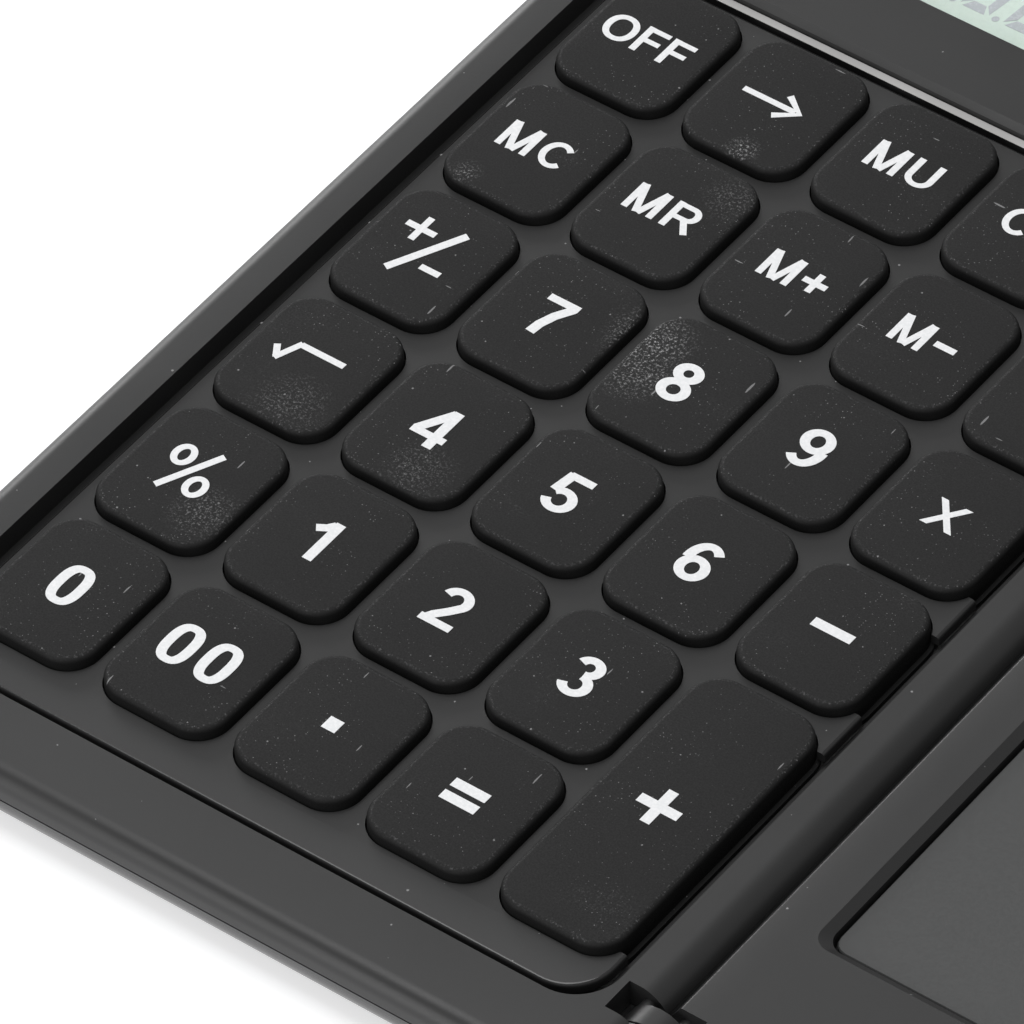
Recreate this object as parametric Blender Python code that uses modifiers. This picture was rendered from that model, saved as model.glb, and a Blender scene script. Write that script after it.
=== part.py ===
"""Folding desk calculator: a keypad leaf and a writing-tablet leaf joined by two double-pivot hinge links.

World frame, metres: +Z up, Z = 0 under the rubber feet, X = 0 in the gap between the two leaves and
Y = 0 half way along them. The keypad leaf lies at -X, the tablet leaf at +X, and the user sits at -Y.
"""
import math

import bmesh
import bpy
from mathutils import Matrix, Vector

MM = 0.001

# Both leaves
LEAF_WIDTH = 100.0 * MM
LEAF_LENGTH = 173.2 * MM
LEAF_THICKNESS = 8.2 * MM
SPINE_GAP = 0.3 * MM
FOOT_HEIGHT = 0.6 * MM
FOOT_FROM_END = 7.6 * MM
OUTER_CORNER = 8.0 * MM
SPINE_CORNER = 4.8 * MM
EDGE_ROUND = 2.2 * MM
BELLY_ROUND = 4.6 * MM
SHELL_FLOOR = 1.2 * MM
CAVITY_ROUND = 3.2 * MM
CAVITY_CORNER = 3.4 * MM
SHELL_WALL = 1.9 * MM
PARTING_BELOW_TOP = 3.37 * MM
PARTING_GAP = 0.2 * MM
LIP_DEPTH = 0.9 * MM
LIP_CLEARANCE = 0.4 * MM
FIT_GAP = 0.3 * MM

# Keypad, measured from the left and front edges of its leaf
RIM_HEIGHT = 1.47 * MM
LEFT_RIM = 5.2 * MM
SPINE_RAIL = 5.58 * MM
FRONT_FRAME = 9.2 * MM
MOAT = 1.55 * MM
KEYPAD_LENGTH = 123.1 * MM
PLATE_THICKNESS = 1.2 * MM
PLATE_ROUND = 0.8 * MM
PLATE_CORNER = 5.5 * MM
PLATE_BACK_CORNER = 1.5 * MM
TRIM_WIDTH = 0.95 * MM
KEY_PITCH_X = 17.0 * MM
KEY_PITCH_Y = 19.735 * MM
KEY_WIDTH = 15.18 * MM
KEY_LENGTH = 17.89 * MM
KEY_CORNER = 3.78 * MM
KEY_ROUND = 0.7 * MM
KEY_RISE = 1.54 * MM
KEY_TRAVEL = 0.8 * MM
KEY_CLEARANCE = 0.2 * MM
KEY_FLANGE = 0.5 * MM
KEY_FLANGE_THICKNESS = 0.6 * MM
FIRST_KEY_FROM_LEFT = 15.95 * MM
FIRST_KEY_FROM_FRONT = 24.9 * MM

# Display
WINDOW_WIDTH = 78.0 * MM
WINDOW_LENGTH = 21.8 * MM
WINDOW_FROM_FRONT = 145.6 * MM
WINDOW_THICKNESS = 1.0 * MM
LCD_THICKNESS = 1.7 * MM

# Hinge: the pins are at the centres of the rounded spine edges, so the edges roll past each other
PIN_RADIUS = 0.9 * MM
PIN_CLEARANCE = 0.05 * MM
BARREL_RADIUS = 4.0 * MM
NOTCH_DEPTH = 4.65 * MM
NOTCH_FAR = 14.7 * MM
NOTCH_NEAR = 10.6 * MM
LINK_THICKNESS = 2.6 * MM

# Writing tablet
SCREEN_FROM_SPINE = 8.05 * MM
SCREEN_FROM_FRONT = 30.5 * MM
SCREEN_WIDTH = 82.0 * MM
SCREEN_LENGTH = 133.6 * MM
SCREEN_DROP = 1.2 * MM
SCREEN_SLOPE = 1.03 * MM
SCREEN_CORNER = 2.0 * MM
FILM_THICKNESS = 1.2 * MM
STYLUS_RADIUS = 2.7 * MM
STYLUS_LENGTH = 108.0 * MM
STYLUS_FROM_EDGE = 4.6 * MM
STYLUS_FROM_BACK = 3.0 * MM

# Places worked out from the sizes above
TOP = FOOT_HEIGHT + LEAF_THICKNESS
BELLY = FOOT_HEIGHT
PARTING = TOP - PARTING_BELOW_TOP
LIP_BOTTOM = PARTING - LIP_DEPTH
DECK = TOP - RIM_HEIGHT
HALF_LENGTH = LEAF_LENGTH / 2
SPINE_EDGE = SPINE_GAP / 2
OUTER_EDGE = SPINE_EDGE + LEAF_WIDTH
PIN_X = SPINE_EDGE + EDGE_ROUND
PIN_Z = TOP - EDGE_ROUND
BARREL_Z = TOP - BARREL_RADIUS - 0.07 * MM
FLOOR_TOP = BELLY + SHELL_FLOOR

RECESS_LEFT = -OUTER_EDGE + LEFT_RIM
RECESS_RIGHT = -SPINE_EDGE - SPINE_RAIL
RECESS_FRONT = -HALF_LENGTH + FRONT_FRAME
PLATE_LEFT = RECESS_LEFT + MOAT
PLATE_RIGHT = RECESS_RIGHT - MOAT
PLATE_FRONT = RECESS_FRONT + MOAT
PLATE_BACK = PLATE_FRONT + KEYPAD_LENGTH
RECESS_BACK = PLATE_BACK + 2.0 * MM
PLATE_BOTTOM = DECK - PLATE_THICKNESS
LEDGE_TOP = PLATE_BOTTOM - FIT_GAP
FIRST_KEY_X = -OUTER_EDGE + FIRST_KEY_FROM_LEFT
FIRST_KEY_Y = -HALF_LENGTH + FIRST_KEY_FROM_FRONT
FLANGE_TOP = PLATE_BOTTOM - 0.2 * MM
FLANGE_BOTTOM = FLANGE_TOP - KEY_FLANGE_THICKNESS
MEMBRANE_TOP = FLANGE_BOTTOM - KEY_TRAVEL - FIT_GAP
BOARD_TOP = MEMBRANE_TOP - 0.8 * MM

WINDOW_FRONT = -HALF_LENGTH + WINDOW_FROM_FRONT
WINDOW_BACK = WINDOW_FRONT + WINDOW_LENGTH
WINDOW_X = FIRST_KEY_X + 2 * KEY_PITCH_X
WINDOW_TOP = TOP - 0.3 * MM
LCD_TOP = WINDOW_TOP - WINDOW_THICKNESS - FIT_GAP
LCD_BOTTOM = LCD_TOP - LCD_THICKNESS

SCREEN_LEFT = SPINE_EDGE + SCREEN_FROM_SPINE
SCREEN_RIGHT = SCREEN_LEFT + SCREEN_WIDTH
SCREEN_FRONT = -HALF_LENGTH + SCREEN_FROM_FRONT
SCREEN_BACK = SCREEN_FRONT + SCREEN_LENGTH
SCREEN_TOP = TOP - SCREEN_DROP
STYLUS_X = OUTER_EDGE - STYLUS_FROM_EDGE
STYLUS_Z = BARREL_Z
TABLET_X = (SPINE_EDGE + OUTER_EDGE) / 2

CORNER_STEPS = 4
BEYOND = 2.0 * MM

# The keypad from front to back; None leaves a place out, because the add key is two rows long
KEY_ROWS = (
    ("key_0", "key_00", "key_point", "key_equals", None),
    ("key_percent", "key_1", "key_2", "key_3", None),
    ("key_square_root", "key_4", "key_5", "key_6", "key_minus"),
    ("key_change_sign", "key_7", "key_8", "key_9", "key_times"),
    ("key_memory_clear", "key_memory_recall", "key_memory_plus", "key_memory_minus", "key_divide"),
    ("key_off", "key_backspace", "key_mark_up", "key_clear", "key_on"),
)
LAST_COLUMN = 4


# ---------------------------------------------------------------- scene and materials

def empty_scene():
    for obj in list(bpy.data.objects):
        bpy.data.objects.remove(obj, do_unlink=True)


def new_collection(name):
    collection = bpy.data.collections.new(name)
    bpy.context.scene.collection.children.link(collection)
    return collection


def principled(name, color, roughness, metallic=0.0, alpha=1.0):
    material = bpy.data.materials.new(name)
    material.use_nodes = True
    shader = material.node_tree.nodes["Principled BSDF"]
    shader.inputs["Base Color"].default_value = (*color, 1.0)
    shader.inputs["Roughness"].default_value = roughness
    shader.inputs["Metallic"].default_value = metallic
    shader.inputs["Alpha"].default_value = alpha
    return material


def make_materials():
    return {
        "shell": principled("shell", (0.072, 0.072, 0.074), 0.42),
        "plate": principled("plate", (0.070, 0.070, 0.071), 0.45),
        "key": principled("key", (0.035, 0.035, 0.036), 0.70),
        "trim": principled("trim", (0.62, 0.62, 0.62), 0.30, metallic=1.0),
        "window": principled("window", (0.90, 0.95, 0.92), 0.08, alpha=0.25),
        "lcd": principled("lcd", (0.62, 0.70, 0.63), 0.30),
        "board": principled("board", (0.03, 0.16, 0.07), 0.55),
        "silicone": principled("silicone", (0.45, 0.45, 0.45), 0.75),
        "steel": principled("steel", (0.55, 0.55, 0.56), 0.28, metallic=1.0),
        "film": principled("film", (0.095, 0.097, 0.097), 0.38),
        "rubber": principled("rubber", (0.02, 0.02, 0.02), 0.85),
        "stylus": principled("stylus", (0.03, 0.03, 0.03), 0.40),
    }


# ---------------------------------------------------------------- mesh helpers

def move_verts(bm, low, high):
    """Stretch a unit cube so that it fills the box from low to high."""
    middle = (Vector(low) + Vector(high)) / 2
    size = Vector(high) - Vector(low)
    bmesh.ops.transform(bm, matrix=Matrix.Translation(middle) @ Matrix.Diagonal((*size, 1.0)), verts=bm.verts)


def upright_edge(bm, x, y):
    """The edge that runs along Z at one corner of a box."""
    for edge in bm.edges:
        if all((vert.co.xy - Vector((x, y))).length < 1e-7 for vert in edge.verts):
            return edge
    return None


def level_edges(bm, z):
    return [edge for edge in bm.edges if all(abs(vert.co.z - z) < 1e-7 for vert in edge.verts)]


def bevel(bm, edges, width, steps):
    bmesh.ops.bevel(bm, geom=edges, offset=width, offset_type="OFFSET", segments=steps, profile=0.5,
                    affect="EDGES", clamp_overlap=False)


def block(low, high, corner=0.0, right_corner=None, back_corner=None, top=0.0, bottom=0.0, top_steps=4,
          bottom_steps=4):
    """A box whose upright, top and bottom edges are rounded; its +X or its +Y corners may differ."""
    bm = bmesh.new()
    bmesh.ops.create_cube(bm, size=1.0)
    move_verts(bm, low, high)
    for x in (low[0], high[0]):
        for y in (low[1], high[1]):
            radius = corner
            if right_corner is not None and x == high[0]:
                radius = right_corner
            if back_corner is not None and y == high[1]:
                radius = back_corner
            if radius:
                bevel(bm, [upright_edge(bm, x, y)], radius, CORNER_STEPS)
    if top:
        bevel(bm, level_edges(bm, high[2]), top, top_steps)
    if bottom:
        bevel(bm, level_edges(bm, low[2]), bottom, bottom_steps)
    return bm


def rod(radius, start, end, x, z, steps=24):
    """A cylinder along Y."""
    bm = bmesh.new()
    bmesh.ops.create_cone(bm, cap_ends=True, segments=steps, radius1=radius, radius2=radius,
                          depth=end - start)
    turn = Matrix.Rotation(math.radians(-90), 4, "X")
    bmesh.ops.transform(bm, matrix=Matrix.Translation((x, (start + end) / 2, z)) @ turn, verts=bm.verts)
    return bm


def disc(radius, bottom, top, x, y, steps=32):
    """A cylinder along Z."""
    bm = bmesh.new()
    bmesh.ops.create_cone(bm, cap_ends=True, segments=steps, radius1=radius, radius2=radius,
                          depth=top - bottom)
    bmesh.ops.translate(bm, vec=(x, y, (bottom + top) / 2), verts=bm.verts)
    return bm


def widen_face(bm, face, grow_x, grow_y, drop):
    """Step the face outward on its own level, then pull it down, as a flange under a key."""
    middle = face.calc_center_median()
    half_x = max(abs(vert.co.x - middle.x) for vert in face.verts)
    half_y = max(abs(vert.co.y - middle.y) for vert in face.verts)
    for grow, fall in ((True, 0.0), (False, drop)):
        made = bmesh.ops.extrude_face_region(bm, geom=[face])["geom"]
        verts = [item for item in made if isinstance(item, bmesh.types.BMVert)]
        new_face = [item for item in made if isinstance(item, bmesh.types.BMFace)][0]
        bmesh.ops.delete(bm, geom=[face], context="FACES_ONLY")
        for vert in verts:
            if grow:
                vert.co.x = middle.x + (vert.co.x - middle.x) * (half_x + grow_x) / half_x
                vert.co.y = middle.y + (vert.co.y - middle.y) * (half_y + grow_y) / half_y
            vert.co.z -= fall
        face = new_face


def bottom_face(bm):
    return min(bm.faces, key=lambda face: (round(face.calc_center_median().z, 7), face.normal.z))


class Builder:
    """Makes named objects from meshes, in the collection of parts or of cutters."""

    def __init__(self):
        self.parts = new_collection("folding_desk_calculator")
        self.cutters = new_collection("cutters")
        self.materials = make_materials()

    def part(self, name, bm, material, origin=(0.0, 0.0, 0.0)):
        obj = self.place(name, bm, self.parts, origin)
        obj.data.materials.append(self.materials[material])
        obj.data.shade_smooth()
        obj.data.set_sharp_from_angle(angle=math.radians(35))
        return obj

    def cutter(self, name, bm):
        obj = self.place(name, bm, self.cutters, (0.0, 0.0, 0.0))
        obj.hide_render = True
        obj.display_type = "WIRE"
        return obj

    @staticmethod
    def place(name, bm, collection, origin):
        bmesh.ops.recalc_face_normals(bm, faces=bm.faces)
        bmesh.ops.translate(bm, vec=-Vector(origin), verts=bm.verts)
        mesh = bpy.data.meshes.new(name)
        bm.to_mesh(mesh)
        bm.free()
        obj = bpy.data.objects.new(name, mesh)
        obj.location = origin
        collection.objects.link(obj)
        return obj

    def boolean(self, obj, bm, label, operation="DIFFERENCE"):
        tool = self.cutter(f"{obj.name}_{label}", bm)
        modifier = obj.modifiers.new(label, "BOOLEAN")
        modifier.operation = operation
        modifier.solver = "EXACT"
        modifier.object = tool


# ---------------------------------------------------------------- keypad leaf

def leaf_box(side, low_z, high_z, inset=0.0):
    """Corners of a leaf's block; side is -1 for the keypad leaf and 1 for the tablet leaf."""
    near = SPINE_EDGE + inset
    far = OUTER_EDGE - inset
    xs = sorted((side * near, side * far))
    y = HALF_LENGTH - inset
    return (xs[0], -y, low_z), (xs[1], y, high_z)


def leaf_corners(side):
    if side < 0:
        return {"corner": OUTER_CORNER, "right_corner": SPINE_CORNER}
    return {"corner": SPINE_CORNER, "right_corner": OUTER_CORNER}


def notch_boxes(side):
    """The two cut-outs at the spine that hold the hinge links; a tablet notch runs out of the leaf's end."""
    near = HALF_LENGTH - NOTCH_FAR
    far = HALF_LENGTH - NOTCH_NEAR if side < 0 else HALF_LENGTH + BEYOND
    xs = sorted((side * (SPINE_EDGE + NOTCH_DEPTH), -side * BARREL_RADIUS * 1.2))
    boxes = []
    for end in (-1, 1):
        ys = sorted((end * near, end * far))
        boxes.append(((xs[0], ys[0], -BEYOND), (xs[1], ys[1], TOP + BEYOND)))
    return boxes


def pin_bores(side):
    """Blind bores for the pins, in the rail on the middle side of each notch and in the keypad leaf's lugs."""
    inner = HALF_LENGTH - NOTCH_FAR
    outer = HALF_LENGTH - NOTCH_NEAR
    spans = [(inner - 4.0 * MM, inner + 0.5 * MM)]
    if side < 0:
        spans.append((outer - 0.5 * MM, outer + 5.0 * MM))
    bores = []
    for near, far in spans:
        for end in (-1, 1):
            start, stop = sorted((end * near, end * far))
            bores.append(rod(PIN_RADIUS + PIN_CLEARANCE, start, stop, side * PIN_X, PIN_Z, steps=20))
    return bores


def key_centres():
    """Every key's name, middle and length along Y."""
    places = []
    for row, names in enumerate(KEY_ROWS):
        for column, name in enumerate(names):
            if name is not None:
                centre = (FIRST_KEY_X + column * KEY_PITCH_X, FIRST_KEY_Y + row * KEY_PITCH_Y)
                places.append((name, centre, KEY_LENGTH, column))
    add_centre = (FIRST_KEY_X + LAST_COLUMN * KEY_PITCH_X, FIRST_KEY_Y + KEY_PITCH_Y / 2)
    places.append(("key_plus", add_centre, KEY_LENGTH + KEY_PITCH_Y, LAST_COLUMN))
    return places


def make_key(build, name, centre, length):
    x, y = centre
    low = (x - KEY_WIDTH / 2, y - length / 2, FLANGE_TOP)
    high = (x + KEY_WIDTH / 2, y + length / 2, DECK + KEY_RISE)
    bm = block(low, high, corner=KEY_CORNER, top=KEY_ROUND, top_steps=2)
    widen_face(bm, bottom_face(bm), KEY_FLANGE, KEY_FLANGE, KEY_FLANGE_THICKNESS)
    build.part(name, bm, "key", origin=(x, y, DECK))


def make_key_plate(build):
    """The deck between the keys; the last column's holes run out into the moat beside the spine rail."""
    low = (PLATE_LEFT, PLATE_FRONT, PLATE_BOTTOM)
    high = (PLATE_RIGHT, PLATE_BACK, DECK)
    plate = build.part("key_plate", block(low, high, corner=PLATE_CORNER, back_corner=PLATE_BACK_CORNER,
                                          top=PLATE_ROUND, top_steps=2), "plate")
    holes = bmesh.new()
    slots = bmesh.new()
    for _, (x, y), length, column in key_centres():
        half_x = KEY_WIDTH / 2 + KEY_CLEARANCE
        half_y = length / 2 + KEY_CLEARANCE
        add_mesh(holes, block((x - half_x, y - half_y, PLATE_BOTTOM - BEYOND),
                              (x + half_x, y + half_y, DECK + BEYOND),
                              corner=KEY_CORNER + KEY_CLEARANCE))
        if column == LAST_COLUMN:
            half_slot = length / 2 - 2.3 * MM
            add_mesh(slots, block((x, y - half_slot, PLATE_BOTTOM - BEYOND),
                                  (PLATE_RIGHT + BEYOND, y + half_slot, DECK + BEYOND)))
    build.boolean(plate, holes, "key_holes")
    build.boolean(plate, slots, "side_slots")


def add_mesh(target, source):
    """Append one mesh to another as a separate shell."""
    mesh = bpy.data.meshes.new("shell")
    source.to_mesh(mesh)
    source.free()
    target.from_mesh(mesh)
    bpy.data.meshes.remove(mesh)


def make_upper_shell(build):
    low, high = leaf_box(-1, PARTING + PARTING_GAP / 2, TOP)
    body = block(low, high, top=EDGE_ROUND, **leaf_corners(-1))
    shell = build.part("calculator_upper_shell", body, "shell")
    lip_edge = SHELL_WALL + LIP_CLEARANCE
    low, high = leaf_box(-1, LIP_BOTTOM, PARTING + 1.0 * MM, lip_edge)
    band = NOTCH_DEPTH + 2.2 * MM
    build.boolean(shell, block(low, (-SPINE_EDGE - band, high[1], high[2]), corner=OUTER_CORNER - lip_edge,
                               right_corner=CAVITY_CORNER), "lip", "UNION")
    build.boolean(shell, block((RECESS_LEFT, RECESS_FRONT, LEDGE_TOP),
                               (RECESS_RIGHT, RECESS_BACK, TOP + BEYOND),
                               corner=PLATE_CORNER, back_corner=0.2 * MM), "keypad_recess")
    ledge = 0.5 * MM
    build.boolean(shell, block((PLATE_LEFT + ledge, PLATE_FRONT + 2.5 * MM, -BEYOND),
                               (PLATE_RIGHT - ledge, PLATE_BACK - ledge, TOP),
                               corner=2.0 * MM), "keypad_opening")
    half = WINDOW_WIDTH / 2
    build.boolean(shell, block((WINDOW_X - half, WINDOW_FRONT, -BEYOND),
                               (WINDOW_X + half, WINDOW_BACK, TOP + BEYOND),
                               corner=1.0 * MM), "window_opening")
    build.boolean(shell, block((WINDOW_X - half - 4.0 * MM, WINDOW_FRONT - 3.5 * MM, -BEYOND),
                               (WINDOW_X + half + 4.0 * MM, WINDOW_BACK + 2.8 * MM, LCD_TOP + FIT_GAP)),
                  "lcd_pocket")
    for index, (low, high) in enumerate(notch_boxes(-1)):
        build.boolean(shell, block(low, high), f"notch_{index}")
    for index, end in enumerate((-1, 1)):
        start, stop = sorted((end * (HALF_LENGTH - NOTCH_NEAR), end * (HALF_LENGTH - 1.0 * MM)))
        build.boolean(shell, rod(BARREL_RADIUS, start, stop, 0.0, BARREL_Z), f"lug_{index}", "UNION")
    for index, bore in enumerate(pin_bores(-1)):
        build.boolean(shell, bore, f"pin_bore_{index}")


def foot_boxes(side):
    """Long low pads near the front and back of a leaf."""
    centre = side * TABLET_X
    return [(centre, end * (HALF_LENGTH - FOOT_FROM_END)) for end in (-1, 1)]


def add_feet(build, shell, side, prefix):
    for label, (x, y) in zip(("front", "back"), foot_boxes(side)):
        half_x = 30.0 * MM
        half_y = 2.5 * MM
        recess = 0.6 * MM
        build.boolean(shell, block((x - half_x, y - half_y, -BEYOND),
                                   (x + half_x, y + half_y, BELLY + recess),
                                   corner=half_y * 0.98), f"foot_recess_{label}")
        inset = FIT_GAP
        build.part(f"{prefix}_foot_{label}",
                   block((x - half_x + inset, y - half_y + inset, 0.0),
                         (x + half_x - inset, y + half_y - inset, BELLY + recess - FIT_GAP),
                         corner=(half_y - inset) * 0.98, bottom=0.3 * MM, bottom_steps=1), "rubber")


def add_battery_bay(build, shell, x, y, cell_radius, cell_thickness, prefix):
    """A screwed cover on the underside, its opening, the screw's boss and the coin cell above it."""
    cover_half_y = cell_radius + 3.0 * MM
    left = x - cell_radius - 3.0 * MM
    right = x + cell_radius + 8.0 * MM
    screw_x = right - 3.5 * MM
    rebate = 0.7 * MM
    rim = 1.5 * MM
    build.boolean(shell, disc(2.2 * MM, FLOOR_TOP - 0.5 * MM, FLOOR_TOP + 2.0 * MM, screw_x, y, steps=20),
                  "screw_boss", "UNION")
    build.boolean(shell, block((left, y - cover_half_y, -BEYOND), (right, y + cover_half_y, BELLY + rebate),
                               corner=2.0 * MM), "cover_rebate")
    opening_right = x + cell_radius + 1.5 * MM
    build.boolean(shell, block((left + rim, y - cover_half_y + rim, -BEYOND),
                               (opening_right, y + cover_half_y - rim, FLOOR_TOP + BEYOND),
                               corner=1.0 * MM), "cell_opening")
    build.boolean(shell, disc(0.85 * MM, -BEYOND, FLOOR_TOP + BEYOND, screw_x, y, steps=16), "screw_hole")

    gap = 0.25 * MM
    cover = build.part(f"{prefix}_battery_cover",
                       block((left + gap, y - cover_half_y + gap, BELLY),
                             (right - gap, y + cover_half_y - gap, BELLY + rebate - 0.15 * MM),
                             corner=1.75 * MM), "shell")
    build.boolean(cover, block((left + rim + gap, y - cover_half_y + rim + gap, BELLY + 0.3 * MM),
                               (opening_right - gap, y + cover_half_y - rim - gap, FLOOR_TOP),
                               corner=0.8 * MM), "cover_plug", "UNION")
    build.boolean(cover, disc(1.0 * MM, -BEYOND, FLOOR_TOP + BEYOND, screw_x, y, steps=16), "cover_hole")

    head = disc(1.7 * MM, BELLY - 0.5 * MM, BELLY - 0.05 * MM, screw_x, y, steps=20)
    screw = build.part(f"{prefix}_cover_screw", head, "steel")
    shank = disc(0.7 * MM, BELLY - 0.3 * MM, FLOOR_TOP + 1.6 * MM, screw_x, y, steps=16)
    build.boolean(screw, shank, "shank", "UNION")

    cell_bottom = FLOOR_TOP + 0.15 * MM
    cell = disc(cell_radius, cell_bottom, cell_bottom + cell_thickness, x, y)
    build.part(f"{prefix}_coin_cell", cell, "steel")


def make_lower_shell(build):
    low, high = leaf_box(-1, BELLY, PARTING - PARTING_GAP / 2)
    body = block(low, high, bottom=BELLY_ROUND, **leaf_corners(-1))
    shell = build.part("calculator_lower_shell", body, "shell")
    low, high = leaf_box(-1, FLOOR_TOP, PARTING + BEYOND, SHELL_WALL)
    band = NOTCH_DEPTH + 1.8 * MM
    build.boolean(shell, block(low, (-SPINE_EDGE - band, high[1], high[2]), corner=OUTER_CORNER - SHELL_WALL,
                               right_corner=CAVITY_CORNER, bottom=CAVITY_ROUND, bottom_steps=3), "cavity")
    for index, (low, high) in enumerate(notch_boxes(-1)):
        build.boolean(shell, block(low, high), f"notch_{index}")
    for index, end in enumerate((-1, 1)):
        near = HALF_LENGTH - NOTCH_NEAR - FIT_GAP
        start, stop = sorted((end * near, end * (HALF_LENGTH + BEYOND)))
        build.boolean(shell, rod(BARREL_RADIUS + FIT_GAP, start, stop, 0.0, BARREL_Z), f"lug_seat_{index}")
    add_battery_bay(build, shell, WINDOW_X + 12.0 * MM, WINDOW_BACK - 14.5 * MM, 5.8 * MM, 3.05 * MM,
                    "calculator")
    add_feet(build, shell, -1, "calculator")


def make_keypad_inside(build):
    side = 1.3 * MM
    build.part("key_membrane",
               block((PLATE_LEFT - side, PLATE_FRONT - side, MEMBRANE_TOP - 0.6 * MM),
                     (PLATE_RIGHT, PLATE_BACK + side, MEMBRANE_TOP), corner=3.0 * MM), "silicone")
    build.part("calculator_circuit_board",
               block((-OUTER_EDGE + 4.0 * MM, -HALF_LENGTH + 4.0 * MM, BOARD_TOP - 1.0 * MM),
                     (PLATE_RIGHT - 1.5 * MM, WINDOW_FRONT + 0.5 * MM, BOARD_TOP), corner=4.0 * MM), "board")
    build.part("trim_strip",
               block((RECESS_LEFT + FIT_GAP, PLATE_BACK + 0.55 * MM, LEDGE_TOP + FIT_GAP),
                     (RECESS_RIGHT - FIT_GAP, PLATE_BACK + 0.55 * MM + TRIM_WIDTH, DECK + 0.05 * MM)), "trim")


def make_display(build):
    gap = 0.15 * MM
    half = WINDOW_WIDTH / 2
    build.part("display_window",
               block((WINDOW_X - half + gap, WINDOW_FRONT + gap, WINDOW_TOP - WINDOW_THICKNESS),
                     (WINDOW_X + half - gap, WINDOW_BACK - gap, WINDOW_TOP), corner=0.85 * MM,
                     top=0.15 * MM, top_steps=1), "window")
    build.part("lcd_module",
               block((WINDOW_X - half - 3.0 * MM, WINDOW_FRONT - 2.6 * MM, LCD_BOTTOM),
                     (WINDOW_X + half + 3.0 * MM, WINDOW_BACK + 2.0 * MM, LCD_TOP), corner=0.6 * MM), "lcd")
    build.part("lcd_connector_strip",
               block((WINDOW_X - half + 4.0 * MM, WINDOW_FRONT - 2.4 * MM, BOARD_TOP + 0.2 * MM),
                     (WINDOW_X + half - 4.0 * MM, WINDOW_FRONT - 0.4 * MM, LCD_BOTTOM - 0.2 * MM)),
               "silicone")


# ---------------------------------------------------------------- hinge

def make_hinge_links(build):
    """A drum that carries two parallel pins: one turns in the keypad leaf, the other in the tablet leaf."""
    for label, end in (("front", -1), ("back", 1)):
        outer = HALF_LENGTH - NOTCH_NEAR - FIT_GAP
        start, stop = sorted((end * outer, end * (outer - LINK_THICKNESS)))
        link = build.part(f"hinge_link_{label}", rod(BARREL_RADIUS, start, stop, 0.0, BARREL_Z), "shell",
                          origin=(-PIN_X, (start + stop) / 2, PIN_Z))
        inner_reach = HALF_LENGTH - NOTCH_FAR - 3.5 * MM
        outer_reach = HALF_LENGTH - NOTCH_NEAR + 4.5 * MM
        start, stop = sorted((end * inner_reach, end * outer_reach))
        build.boolean(link, rod(PIN_RADIUS, start, stop, -PIN_X, PIN_Z, steps=20), "keypad_pin", "UNION")
        start, stop = sorted((end * inner_reach, end * (outer - LINK_THICKNESS / 2)))
        build.boolean(link, rod(PIN_RADIUS, start, stop, PIN_X, PIN_Z, steps=20), "tablet_pin", "UNION")


# ---------------------------------------------------------------- tablet leaf

def make_tablet_frame(build):
    low, high = leaf_box(1, PARTING + PARTING_GAP / 2, TOP)
    frame = build.part("tablet_upper_frame", block(low, high, top=EDGE_ROUND, **leaf_corners(1)), "shell")
    lip_edge = SHELL_WALL + LIP_CLEARANCE
    low, high = leaf_box(1, LIP_BOTTOM, PARTING + 1.0 * MM, lip_edge)
    lip_left = SPINE_EDGE + NOTCH_DEPTH + 2.2 * MM
    lip_right = STYLUS_X - STYLUS_RADIUS - 2.7 * MM
    lip = block((lip_left, low[1], low[2]), (lip_right, high[1], high[2]), corner=CAVITY_CORNER)
    build.boolean(frame, lip, "lip", "UNION")
    build.boolean(frame, screen_pocket(), "screen_pocket")
    margin = 0.4 * MM
    pocket_bottom = SCREEN_TOP - FILM_THICKNESS - FIT_GAP
    build.boolean(frame, block((SCREEN_LEFT - margin, SCREEN_FRONT - margin, pocket_bottom),
                               (SCREEN_RIGHT + margin, SCREEN_BACK + margin, TOP), corner=SCREEN_CORNER),
                  "film_pocket")
    build.boolean(frame, stylus_bore(), "stylus_bore")
    hole = erase_button_block(KEY_CLEARANCE, -BEYOND, TOP + BEYOND)
    build.boolean(frame, hole, "button_hole")
    for index, (low, high) in enumerate(notch_boxes(1)):
        build.boolean(frame, block(low, high), f"notch_{index}")
    for index, bore in enumerate(pin_bores(1)):
        build.boolean(frame, bore, f"pin_bore_{index}")


def screen_pocket():
    """The sloping surround of the screen: a block whose top is wider than its bottom by the slope."""
    bm = block((SCREEN_LEFT - 0.4 * MM, SCREEN_FRONT - 0.4 * MM, TOP - SCREEN_DROP + 0.13 * MM),
               (SCREEN_RIGHT + 0.4 * MM, SCREEN_BACK + 0.4 * MM, TOP), corner=SCREEN_CORNER)
    middle = Vector(((SCREEN_LEFT + SCREEN_RIGHT) / 2, (SCREEN_FRONT + SCREEN_BACK) / 2, 0.0))
    wide_x = 1 + 2 * SCREEN_SLOPE / SCREEN_WIDTH
    wide_y = 1 + 2 * SCREEN_SLOPE / SCREEN_LENGTH
    for vert in bm.verts:
        if vert.co.z > TOP - 1e-6:
            vert.co.x = middle.x + (vert.co.x - middle.x) * wide_x
            vert.co.y = middle.y + (vert.co.y - middle.y) * wide_y
    lid = max(bm.faces, key=lambda face: face.calc_center_median().z)
    made = bmesh.ops.extrude_face_region(bm, geom=[lid])["geom"]
    bmesh.ops.delete(bm, geom=[lid], context="FACES_ONLY")
    raised = [item for item in made if isinstance(item, bmesh.types.BMVert)]
    bmesh.ops.translate(bm, vec=(0.0, 0.0, BEYOND), verts=raised)
    return bm


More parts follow.
